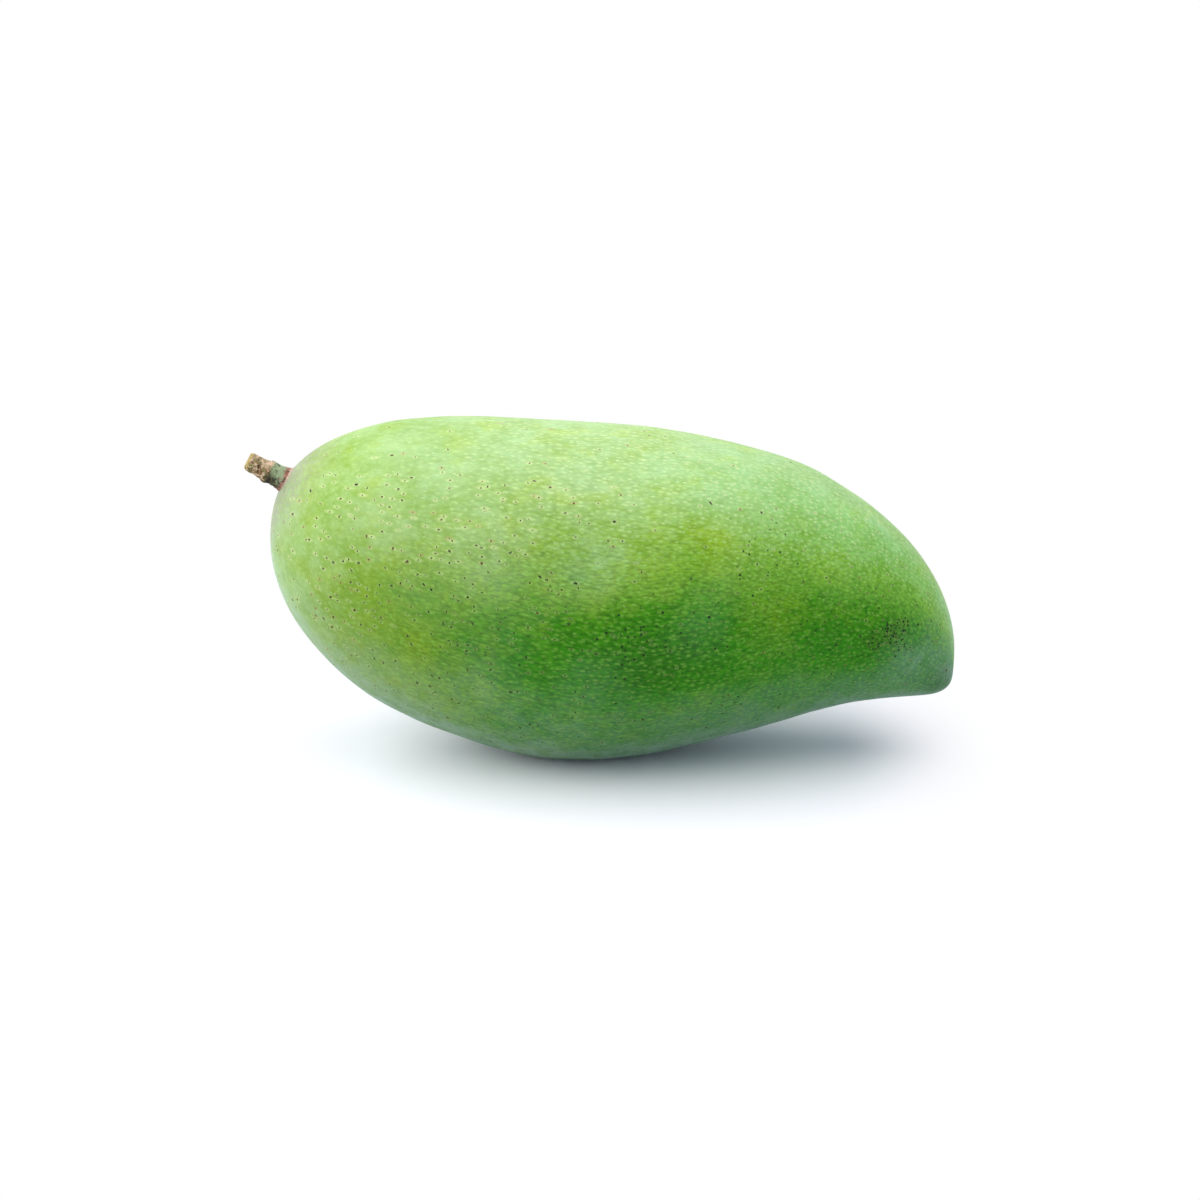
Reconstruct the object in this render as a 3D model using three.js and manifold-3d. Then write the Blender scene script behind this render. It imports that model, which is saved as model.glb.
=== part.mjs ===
// A whole green mango with its cut stem, resting on its belly.
// Millimetres, +Z up. +X runs from the stem end to the beak, and the fruit's
// plane of symmetry is y = 0. The origin is the middle of the bounding box's base.

import * as THREE from 'three';
import { mergeVertices } from 'three/addons/utils/BufferGeometryUtils.js';
import Module from 'manifold-3d';

const wasm = await Module();
wasm.setup();

// Fruit. The chord joins the pole at the stem end to the tip of the beak, and
// the outlines are heights above and below it, each a sum of sine waves.
const LENGTH = 150;
const BACK_WAVES = [38.1, -2.8, 1.2, 1.0];
const BELLY_WAVES = [33.3, 9.4, -2.8, -0.1, 1.0, -0.5];
const CHEEK_RATIO = 0.93;        // half thickness over half depth
const BACK_FULLNESS = 0.05;      // how far the section is egg-shaped, fuller above
const CHORD_FALL = 14.8;         // degrees from level, falling towards the beak
const FLAT_DEPTH = 1.1;          // skin pressed flat where the fruit rests
const RINGS = 60;
const SIDES = 44;

// Stem. Distances run outwards along its axis from the skin.
const SEAT_TURN = 9;             // degrees along the back's outline, from the pole
const STEM_RISE = 27;            // degrees above level
const STEM_LENGTH = 9.5;
const STEM_SUNK = 1.5;
const COLLAR_RADIUS = 3.0;
const NECK_RADIUS = 2.45;
const KNUCKLE_RADIUS = 2.6;
const KNUCKLE_AT = 4.3;
const TIP_RADIUS = 2.1;
const TIP_BEVEL = 0.3;
const STEM_SIDES = 24;
const GAP = 0.3;                 // between the stem and its socket

const WELD = 1e-4;               // points closer than this are one point

const SKIN = { color: 0x6fae3c, roughness: 0.45, metalness: 0 };
const BARK = { color: 0x7d6a3f, roughness: 0.85, metalness: 0 };

const radians = THREE.MathUtils.degToRad;

// The sum of sin(turn), sin(2 turn), sin(3 turn), ... with the given weights.
function waveSum(weights, turn) {
  return weights.reduce((sum, weight, i) => sum + weight * Math.sin((i + 1) * turn), 0);
}

// A point of the skin: along runs from the stem-end pole (0) to the beak (1),
// and round turns about the chord from the back (0).
function skinPoint(along, round) {
  const turn = along * Math.PI;
  const back = waveSum(BACK_WAVES, turn);
  const belly = -waveSum(BELLY_WAVES, turn);
  const halfDepth = (back - belly) / 2;
  return new THREE.Vector3(
    LENGTH / 2 * -Math.cos(turn),
    CHEEK_RATIO * halfDepth * Math.sin(round) * (1 + BACK_FULLNESS * Math.cos(round)),
    (back + belly) / 2 + halfDepth * Math.cos(round),
  );
}

// A closed surface of rings between two poles, as an indexed geometry.
function closedSurface(pointAt, rings, sides) {
  const points = [pointAt(0, 0)];
  for (let i = 1; i < rings; i++) {
    for (let j = 0; j < sides; j++) {
      points.push(pointAt(i / rings, 2 * Math.PI * j / sides));
    }
  }
  points.push(pointAt(1, 0));
  const last = points.length - 1;
  const at = (i, j) => 1 + (i - 1) * sides + j % sides;
  const index = [];
  for (let j = 0; j < sides; j++) {
    index.push(0, at(1, j), at(1, j + 1));
    for (let i = 1; i < rings - 1; i++) {
      index.push(at(i, j), at(i + 1, j), at(i + 1, j + 1));
      index.push(at(i, j), at(i + 1, j + 1), at(i, j + 1));
    }
    index.push(last, at(rings - 1, j + 1), at(rings - 1, j));
  }
  const geometry = new THREE.BufferGeometry().setFromPoints(points);
  geometry.setIndex(index);
  return geometry;
}

function toSolid(geometry) {
  const bare = geometry.clone();
  bare.deleteAttribute('normal');
  bare.deleteAttribute('uv');
  const merged = mergeVertices(bare, WELD);
  return new wasm.Manifold(new wasm.Mesh({
    numProp: 3,
    vertProperties: new Float32Array(merged.attributes.position.array),
    triVerts: new Uint32Array(merged.index.array),
  }));
}

function toGeometry(solid) {
  const mesh = solid.getMesh();
  const geometry = new THREE.BufferGeometry();
  geometry.setAttribute('position', new THREE.BufferAttribute(mesh.vertProperties, 3));
  geometry.setIndex(new THREE.BufferAttribute(mesh.triVerts, 1));
  return geometry;
}

// A round solid about +Y from [radius, height] points between its two ends.
function turned(profile) {
  const first = [0, profile[0][1]];
  const last = [0, profile.at(-1)[1]];
  const points = [first, ...profile, last].map(([r, y]) => new THREE.Vector2(r, y));
  return new THREE.LatheGeometry(points, STEM_SIDES);
}

// The stem: sunk foot, flared collar at the skin, neck, raised knuckle, cut end.
function stemGeometry() {
  return turned([
    [NECK_RADIUS, -STEM_SUNK],
    [COLLAR_RADIUS, -0.4],
    [0.96 * COLLAR_RADIUS, 0.4],
    [1.06 * NECK_RADIUS, 1.4],
    [NECK_RADIUS, KNUCKLE_AT - 1.3],
    [KNUCKLE_RADIUS, KNUCKLE_AT - 0.4],
    [KNUCKLE_RADIUS, KNUCKLE_AT + 0.3],
    [0.92 * NECK_RADIUS, KNUCKLE_AT + 1.1],
    [TIP_RADIUS, STEM_LENGTH - TIP_BEVEL],
    [TIP_RADIUS - TIP_BEVEL, STEM_LENGTH],
  ]);
}

// The socket that the stem's foot sits in, wider and deeper by the gap.
function socketGeometry() {
  const radius = COLLAR_RADIUS + GAP;
  return turned([
    [radius, -STEM_SUNK - GAP],
    [radius, STEM_LENGTH],
  ]);
}

// The pitch of the chord, with the beak lower than the stem end.
const pitch = new THREE.Matrix4().makeRotationY(radians(CHORD_FALL));

// Rests the pitched fruit so that its lowest skin is FLAT_DEPTH below z = 0.
function restingPlace(geometry) {
  const pitched = geometry.clone().applyMatrix4(pitch);
  pitched.computeBoundingBox();
  const lift = -pitched.boundingBox.min.z - FLAT_DEPTH;
  return new THREE.Matrix4().makeTranslation(0, 0, lift).multiply(pitch);
}

// Stands the stem's own +Y axis on the skin, leaning back over the stem end.
function seatPlace(fruitPlace) {
  const seat = skinPoint(SEAT_TURN / 180, 0).applyMatrix4(fruitPlace);
  const rise = radians(STEM_RISE);
  const outwards = new THREE.Vector3(-Math.cos(rise), 0, Math.sin(rise));
  const lean = new THREE.Quaternion().setFromUnitVectors(new THREE.Vector3(0, 1, 0), outwards);
  return new THREE.Matrix4().compose(seat, lean, new THREE.Vector3(1, 1, 1));
}

// A block whose top is the surface that the fruit rests on.
function groundBlock() {
  const block = new THREE.BoxGeometry(2 * LENGTH, 2 * LENGTH, LENGTH);
  return block.translate(0, 0, -LENGTH / 2);
}

function namedMesh(name, geometry, look) {
  const mesh = new THREE.Mesh(geometry, new THREE.MeshStandardMaterial(look));
  mesh.name = name;
  return mesh;
}

function buildMango() {
  const skin = closedSurface(skinPoint, RINGS, SIDES);
  const fruitPlace = restingPlace(skin);
  const stemPlace = seatPlace(fruitPlace);
  const whole = toSolid(skin.applyMatrix4(fruitPlace));
  const socket = toSolid(socketGeometry().applyMatrix4(stemPlace));
  const ground = toSolid(groundBlock());
  const fruit = toGeometry(whole.subtract(socket).subtract(ground));
  const stem = mergeVertices(stemGeometry().applyMatrix4(stemPlace), WELD);

  const mango = new THREE.Group();
  mango.add(namedMesh('fruit', fruit, SKIN));
  mango.add(namedMesh('stem', stem, BARK));
  const box = new THREE.Box3().setFromObject(mango);
  mango.position.x = -(box.min.x + box.max.x) / 2;
  return mango;
}

export default buildMango();
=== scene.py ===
"""A whole green mango with its cut stem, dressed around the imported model.

The skin is one closed surface worked out from two outlines over a chord. Its
pores are scattered in staggered rows, and each face of the skin knows where its
two nearest pores lie, so that the finish can draw them. The stem is a short twig
with a flared collar, a raised knuckle and a fresh cut end. Lengths are in metres.
"""

import logging
import math
from dataclasses import dataclass, field
from enum import Enum

import bpy
import numpy as np
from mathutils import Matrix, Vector


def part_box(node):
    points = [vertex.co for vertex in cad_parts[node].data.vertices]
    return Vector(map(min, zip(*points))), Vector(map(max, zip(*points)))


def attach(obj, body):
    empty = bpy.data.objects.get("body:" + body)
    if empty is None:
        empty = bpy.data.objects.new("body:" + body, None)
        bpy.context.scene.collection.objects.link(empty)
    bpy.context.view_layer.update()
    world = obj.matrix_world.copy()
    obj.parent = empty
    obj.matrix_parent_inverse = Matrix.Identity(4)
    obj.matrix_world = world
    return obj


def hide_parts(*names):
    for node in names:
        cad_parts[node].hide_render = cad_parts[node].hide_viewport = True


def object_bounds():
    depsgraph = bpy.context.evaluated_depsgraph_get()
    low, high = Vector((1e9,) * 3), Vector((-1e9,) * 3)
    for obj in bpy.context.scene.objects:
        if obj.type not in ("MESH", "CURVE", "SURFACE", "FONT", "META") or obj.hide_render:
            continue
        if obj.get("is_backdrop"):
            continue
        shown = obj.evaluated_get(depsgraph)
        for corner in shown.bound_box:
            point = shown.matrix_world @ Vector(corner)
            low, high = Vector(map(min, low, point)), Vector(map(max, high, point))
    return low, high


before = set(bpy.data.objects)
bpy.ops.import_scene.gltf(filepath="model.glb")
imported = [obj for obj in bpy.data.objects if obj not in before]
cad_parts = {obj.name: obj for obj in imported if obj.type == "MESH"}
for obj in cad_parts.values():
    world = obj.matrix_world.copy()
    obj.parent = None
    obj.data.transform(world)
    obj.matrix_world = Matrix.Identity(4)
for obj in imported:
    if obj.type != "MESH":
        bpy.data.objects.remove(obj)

LOG = logging.getLogger("mango")
MM = 0.001
ROOT = "root"
PORE_NAMES = ("first_pore", "second_pore")

# The colour sockets of Blender's Mix node, whose names repeat for each data type.
MIX_UNDER, MIX_OVER, MIX_RESULT = 6, 7, 2

Triple = tuple[float, float, float]
Colour = Triple
Socket = bpy.types.NodeSocket
Value = Socket | float
Tint = Socket | Colour


# ---------------------------------------------------------------- numpy tools

def smooth_step(low: float, high: float, value: np.ndarray) -> np.ndarray:
    """Rises smoothly from 0 at low to 1 at high, as 3t^2 - 2t^3.

    Args:
        low: where the rise starts.
        high: where the rise ends.
        value: the numbers to place on the rise.

    Returns:
        An array of the same shape, from 0 to 1.
    """
    t = np.clip((value - low) / (high - low), 0.0, 1.0)
    return t * t * (3.0 - 2.0 * t)


def bell(offset: np.ndarray, width: float) -> np.ndarray:
    """Falls from 1 in the middle to 0 on both sides, as exp(-(offset / width)^2)."""
    return np.exp(-(offset / width) ** 2)


def wave_sum(weights: tuple[float, ...], turn: np.ndarray) -> np.ndarray:
    """Adds sin(turn), sin(2 turn), sin(3 turn), ... with the given weights.

    Args:
        weights: one weight for each wave.
        turn: angles in radians.

    Returns:
        The sum at each angle.
    """
    order = np.arange(1, len(weights) + 1)
    return np.sin(turn[..., None] * order) @ np.array(weights)


def unit(vectors: np.ndarray) -> np.ndarray:
    """Scales each vector along the last axis to length 1."""
    return vectors / np.linalg.norm(vectors, axis=-1, keepdims=True)


def turned_down(round_: np.ndarray) -> np.ndarray:
    """How far down the skin has turned, from 0 at the back to 1 below: (1 - cos) / 2."""
    return (1.0 - np.cos(round_)) / 2.0


class Slope(Enum):
    """How a rise gets from its start to its end."""

    SMOOTH = "SMOOTHSTEP"
    STRAIGHT = "LINEAR"


@dataclass(frozen=True)
class Rise:
    """One number that goes from start to end while another goes from low to high."""

    low: float
    high: float
    start: float = 0.0
    end: float = 1.0
    slope: Slope = Slope.SMOOTH

    def at(self, value: np.ndarray) -> np.ndarray:
        """Works out the smooth rise for an array of numbers."""
        return self.start + (self.end - self.start) * smooth_step(self.low, self.high, value)


@dataclass(frozen=True)
class Ripple:
    """A smooth random relief: plane waves in random directions, added up.

    The waves' frequencies are drawn between those of the longest and the shortest
    wave, as shares of the frequency that belongs to the wavelength.
    """

    wavelength: float
    seed: int
    waves: int = 14
    depth: float = 1.0
    longest: float = 0.67
    shortest: float = 1.33

    def at(self, points: np.ndarray) -> np.ndarray:
        """Evaluates the relief, roughly from -1 to 1.

        Each wave is sin(k . p + phase), with k of length 2 pi / wavelength times
        its share. The waves are added and divided by twice the root of half their
        number.

        Args:
            points: an array of points, with x, y, z last.

        Returns:
            The relief at each point, without the depth.
        """
        draw = np.random.default_rng(self.seed)
        directions = unit(draw.normal(size=(self.waves, 3)))
        lengths = draw.uniform(self.longest, self.shortest, self.waves)
        lengths = lengths * 2.0 * math.pi / self.wavelength
        phases = draw.uniform(0.0, 2.0 * math.pi, self.waves)
        angles = points @ (directions * lengths[:, None]).T + phases
        return np.sin(angles).sum(-1) / math.sqrt(self.waves / 2.0) / 2.0


# ---------------------------------------------------------------- mesh tools

class Domain(Enum):
    """Where an attribute's values are kept on a mesh."""

    POINT = "POINT"
    CORNER = "CORNER"


@dataclass
class ClosedGrid:
    """Rings of points between two end points, joined into one closed mesh."""

    rings: np.ndarray
    first: np.ndarray
    last: np.ndarray

    @property
    def shape(self) -> tuple[int, int]:
        """The number of rings and the number of points in a ring."""
        return self.rings.shape[0], self.rings.shape[1]

    def quads(self) -> np.ndarray:
        """Numbers the corners of the four-sided faces.

        They face outwards where the next ring, the next point of a ring and the
        way out are a right-handed set of three.

        Returns:
            One row of four vertex numbers for each face.
        """
        count, sides = self.shape
        ring, side = np.meshgrid(np.arange(count - 1), np.arange(sides), indexing="ij")
        after = (side + 1) % sides
        corners = [ring * sides + side, (ring + 1) * sides + side,
                   (ring + 1) * sides + after, ring * sides + after]
        return 1 + np.stack(corners, -1).reshape(-1, 4)

    def fans(self) -> np.ndarray:
        """Numbers the corners of the triangles round the two end points.

        Returns:
            One row of three vertex numbers for each triangle.
        """
        count, sides = self.shape
        side = np.arange(sides)
        after = (side + 1) % sides
        start = np.stack([0 * side, 1 + side, 1 + after], -1)
        rim = 1 + (count - 1) * sides
        end = np.stack([0 * side + 1 + count * sides, rim + after, rim + side], -1)
        return np.concatenate([start, end])

    def vertices(self) -> np.ndarray:
        """Lists the first end point, then the rings in order, then the last."""
        middle = self.rings.reshape(-1, 3)
        return np.concatenate([self.first[None], middle, self.last[None]])

    def spread(self, ring_values: np.ndarray) -> np.ndarray:
        """Gives the two end points the mean of the ring beside them.

        Args:
            ring_values: values on the rings, with the ring and the side first.

        Returns:
            One row of values for each vertex, in the order of vertices().
        """
        count, sides = self.shape
        middle = ring_values.reshape(count * sides, -1)
        first = middle[:sides].mean(0, keepdims=True)
        last = middle[-sides:].mean(0, keepdims=True)
        return np.concatenate([first, middle, last])

    def mesh(self, name: str) -> bpy.types.Mesh:
        """Makes the smooth-shaded mesh.

        Args:
            name: the mesh's name.

        Returns:
            The mesh, with its four-sided faces first and its triangles last.
        """
        quads, fans = self.quads(), self.fans()
        vertices = self.vertices()
        corners = np.concatenate([quads.ravel(), fans.ravel()])
        starts = np.concatenate([
            4 * np.arange(len(quads)), 4 * len(quads) + 3 * np.arange(len(fans))])
        made = bpy.data.meshes.new(name)
        made.vertices.add(len(vertices))
        made.vertices.foreach_set("co", vertices.astype(np.float32).ravel())
        made.loops.add(len(corners))
        made.loops.foreach_set("vertex_index", corners.astype(np.int32))
        made.polygons.add(len(starts))
        made.polygons.foreach_set("loop_start", starts.astype(np.int32))
        made.update(calc_edges=True)
        made.shade_smooth()
        return made


def store(mesh: bpy.types.Mesh, name: str, domain: Domain, values: np.ndarray) -> None:
    """Keeps three numbers for each vertex or face corner as a named attribute."""
    attribute = mesh.attributes.new(name, "FLOAT_VECTOR", domain.value)
    attribute.data.foreach_set("vector", values.astype(np.float32).ravel())


def add_piece(mesh: bpy.types.Mesh, finish: bpy.types.Material) -> bpy.types.Object:
    """Puts a mesh in the scene under its own name, with one finish.

    Args:
        mesh: the piece's mesh, in place.
        finish: the material of all its faces.

    Returns:
        The piece.
    """
    mesh.materials.append(finish)
    piece = bpy.data.objects.new(mesh.name, mesh)
    bpy.context.scene.collection.objects.link(piece)
    return piece


# ---------------------------------------------------------------- node tools

class Sum(Enum):
    """The sums that a Math node can do, of those used here."""

    ADD = "ADD"
    SUBTRACT = "SUBTRACT"
    MULTIPLY = "MULTIPLY"
    DIVIDE = "DIVIDE"
    POWER = "POWER"
    ROOT = "SQRT"
    LARGEST = "MAXIMUM"


class Blend(Enum):
    """The ways that one colour can be laid over another."""

    COVER = "MIX"
    STAIN = "MULTIPLY"


@dataclass(frozen=True)
class Noise:
    """Cloudy noise: how large its clouds are, how finely they break, and how harshly.

    A stretch below 1 on an axis draws the clouds out along it.
    """

    size: float
    detail: float = 2.0
    harshness: float = 0.5
    stretch: Triple | None = None


class Recipe:
    """Adds and links the nodes of one material or of the world."""

    def __init__(self, tree: bpy.types.NodeTree) -> None:
        """Starts with an empty tree."""
        self.tree = tree
        tree.nodes.clear()

    def node(self, kind: str, **settings: object) -> bpy.types.Node:
        """Adds a node and sets its own properties.

        Args:
            kind: Blender's name for the kind of node.
            **settings: the node's properties and their values.

        Returns:
            The node.
        """
        made = self.tree.nodes.new(kind)
        for name, value in settings.items():
            setattr(made, name, value)
        return made

    def feed(self, socket: Socket, value: Value | Tint) -> None:
        """Links a socket to an input, or writes a plain value on it.

        Args:
            socket: the input to fill.
            value: what fills it: a socket, a number or a colour.
        """
        if isinstance(value, bpy.types.NodeSocket):
            self.tree.links.new(value, socket)
        elif isinstance(value, tuple) and len(socket.default_value) == 4:
            socket.default_value = (*value, 1.0)
        else:
            socket.default_value = value

    def sum(self, how: Sum, first: Value, second: Value = 0.0) -> Socket:
        """Combines two numbers.

        Args:
            how: the sum to do.
            first: the first number.
            second: the second number, which a root leaves out.

        Returns:
            The result.
        """
        made = self.node("ShaderNodeMath", operation=how.value)
        self.feed(made.inputs[0], first)
        self.feed(made.inputs[1], second)
        return made.outputs[0]

    def plus(self, first: Value, second: Value) -> Socket:
        """Adds two numbers."""
        return self.sum(Sum.ADD, first, second)

    def times(self, *factors: Value) -> Socket:
        """Multiplies two or more numbers.

        Args:
            *factors: the numbers.

        Returns:
            Their product.
        """
        product = factors[0]
        for factor in factors[1:]:
            product = self.sum(Sum.MULTIPLY, product, factor)
        return product

    def rise(self, value: Value, rise: Rise) -> Socket:
        """Works out a rise.

        Args:
            value: the number that goes from low to high.
            rise: the rise.

        Returns:
            The number that goes from start to end.
        """
        made = self.node("ShaderNodeMapRange", interpolation_type=rise.slope.value)
        for name, number in (("Value", value), ("From Min", rise.low), ("From Max", rise.high),
                             ("To Min", rise.start), ("To Max", rise.end)):
            self.feed(made.inputs[name], number)
        return made.outputs["Result"]

    def lay(self, share: Value, under: Tint, over: Tint,
            how: Blend = Blend.COVER) -> Socket:
        """Lays one colour over another.

        Args:
            share: how much of the upper colour shows, from 0 to 1.
            under: the lower colour.
            over: the upper colour.
            how: whether it covers or stains the lower one.

        Returns:
            The mixed colour.
        """
        made = self.node("ShaderNodeMix", data_type="RGBA", blend_type=how.value)
        self.feed(made.inputs["Factor"], share)
        self.feed(made.inputs[MIX_UNDER], under)
        self.feed(made.inputs[MIX_OVER], over)
        return made.outputs[MIX_RESULT]

    def parts(self, vector: Socket) -> tuple[Socket, Socket, Socket]:
        """Splits a vector into its three numbers.

        Args:
            vector: the vector.

        Returns:
            Its x, y and z.
        """
        made = self.node("ShaderNodeSeparateXYZ")
        self.feed(made.inputs[0], vector)
        return made.outputs[0], made.outputs[1], made.outputs[2]

    def attribute(self, name: str) -> Socket:
        """Reads a named attribute of the piece as a vector."""
        made = self.node("ShaderNodeAttribute", attribute_name=name)
        return made.outputs["Vector"]

    def place(self) -> Socket:
        """Reads the point's place on the piece, in metres."""
        return self.node("ShaderNodeTexCoord").outputs["Object"]

    def stretched(self, vector: Socket, scale: Triple) -> Socket:
        """Scales a vector by a number for each axis.

        Args:
            vector: the vector.
            scale: a number for each axis. Below 1, it draws a pattern out.

        Returns:
            The scaled vector.
        """
        made = self.node("ShaderNodeVectorMath", operation="MULTIPLY")
        self.feed(made.inputs[0], vector)
        made.inputs[1].default_value = scale
        return made.outputs[0]

    def noise(self, vector: Socket, noise: Noise) -> Socket:
        """Draws cloudy noise.

        Args:
            vector: where the point is.
            noise: what the noise is like.

        Returns:
            The noise, from 0 to 1.
        """
        if noise.stretch is not None:
            vector = self.stretched(vector, noise.stretch)
        made = self.node("ShaderNodeTexNoise")
        self.feed(made.inputs["Vector"], vector)
        made.inputs["Scale"].default_value = 1.0 / noise.size
        made.inputs["Detail"].default_value = noise.detail
        made.inputs["Roughness"].default_value = noise.harshness
        return made.outputs["Fac"]

    def cells(self, vector: Socket, spacing: float) -> tuple[Socket, Socket, Socket]:
        """Scatters points at random and finds the nearest one.

        Args:
            vector: where the point is.
            spacing: about how far apart they lie.

        Returns:
            The distance to the nearest, as a share of the spacing, and two random
            numbers from 0 to 1 that belong to it.
        """
        made = self.node("ShaderNodeTexVoronoi")
        self.feed(made.inputs["Vector"], vector)
        made.inputs["Scale"].default_value = 1.0 / spacing
        chance, other, _ = self.parts(made.outputs["Color"])
        return made.outputs["Distance"], chance, other

    def dice(self, seed: Value) -> Socket:
        """Draws a random number that depends on the seed alone.

        Args:
            seed: the seed.

        Returns:
            A number from 0 to 1.
        """
        made = self.node("ShaderNodeTexWhiteNoise", noise_dimensions="1D")
        self.feed(made.inputs["W"], seed)
        return made.outputs["Value"]

    def bump(self, height: Socket, depth: float, under: Socket | None = None) -> Socket:
        """Turns a height from 0 to 1 into a normal.

        Args:
            height: the height.
            depth: how high the relief stands, in metres.
            under: the normal of the relief that it lies on.

        Returns:
            The normal.
        """
        made = self.node("ShaderNodeBump")
        made.inputs["Strength"].default_value = 1.0
        made.inputs["Distance"].default_value = depth
        self.feed(made.inputs["Height"], height)
        if under is not None:
            self.feed(made.inputs["Normal"], under)
        return made.outputs["Normal"]

    def surface(self) -> bpy.types.Node:
        """Adds the main surface shader and its output.

        Returns:
            The shader.
        """
        made = self.node("ShaderNodeBsdfPrincipled")
        end = self.node("ShaderNodeOutputMaterial")
        self.tree.links.new(made.outputs[0], end.inputs["Surface"])
        return made

    def shine_through(self, share: Socket, first: bpy.types.Node,
                      second: bpy.types.Node, end_kind: str) -> None:
        """Mixes two shaders and makes the mix the tree's output.

        Args:
            share: how much of the second shader shows.
            first: the first shader.
            second: the second shader.
            end_kind: Blender's name for the kind of output.
        """
        mix = self.node("ShaderNodeMixShader")
        self.feed(mix.inputs[0], share)
        self.feed(mix.inputs[1], first.outputs[0])
        self.feed(mix.inputs[2], second.outputs[0])
        end = self.node(end_kind)
        self.feed(end.inputs["Surface"], mix.outputs[0])


def new_material(name: str) -> tuple[bpy.types.Material, Recipe]:
    """Makes an empty material.

    Args:
        name: the material's name.

    Returns:
        The material, and the recipe that fills it.
    """
    made = bpy.data.materials.new(name)
    made.use_nodes = True
    return made, Recipe(made.node_tree)


# ---------------------------------------------------------------- the fruit

@dataclass(frozen=True)
class Spot:
    """A round spot on the skin.

    Its middle is given by its place along the fruit, from 0 at the stem end to 1
    at the beak, and by its turn from the back in degrees.
    """

    along: float
    turn: float
    radius: float

    def far(self, form: "MangoForm", points: np.ndarray) -> np.ndarray:
        """Measures how far points lie from the spot's middle.

        Args:
            form: the fruit's form.
            points: points of the smooth form.

        Returns:
            The distance of each point.
        """
        middle = form.plain(np.array(self.along), np.array(math.radians(self.turn)))
        return np.linalg.norm(points - middle, axis=-1)


@dataclass(frozen=True)
class Knob(Spot):
    """A low bump on the skin, or a hollow where its height is below 0."""

    height: float

    def relief(self, form: "MangoForm", points: np.ndarray) -> np.ndarray:
        """How far the skin moves outwards: the height times a bell of the distance."""
        return self.height * bell(self.far(form, points), self.radius)


@dataclass(frozen=True)
class ScabPatch(Spot):
    """A patch of skin where pores have turned dark, or where pepper lies thick."""

    share: float
    fade: Rise = Rise(0.3, 1.0, 1.0, 0.0)

    def cover(self, form: "MangoForm", points: np.ndarray) -> np.ndarray:
        """Works out the patch's share at each point, which fades to its edge.

        Args:
            form: the fruit's form.
            points: points of the smooth form.

        Returns:
            The share at each point, from 0 to the patch's own.
        """
        return self.share * self.fade.at(self.far(form, points) / self.radius)


@dataclass(frozen=True)
class TonePatch(Spot):
    """A soft patch of skin that is deeper, yellower or hazier than the rest."""

    deeper: float = 0.0
    hazier: float = 0.0
    yellower: float = 0.0

    def cover(self, form: "MangoForm", points: np.ndarray) -> np.ndarray:
        """The patch's strength: 1 in its middle, falling as a bell of the distance."""
        return bell(self.far(form, points), self.radius)


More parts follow.
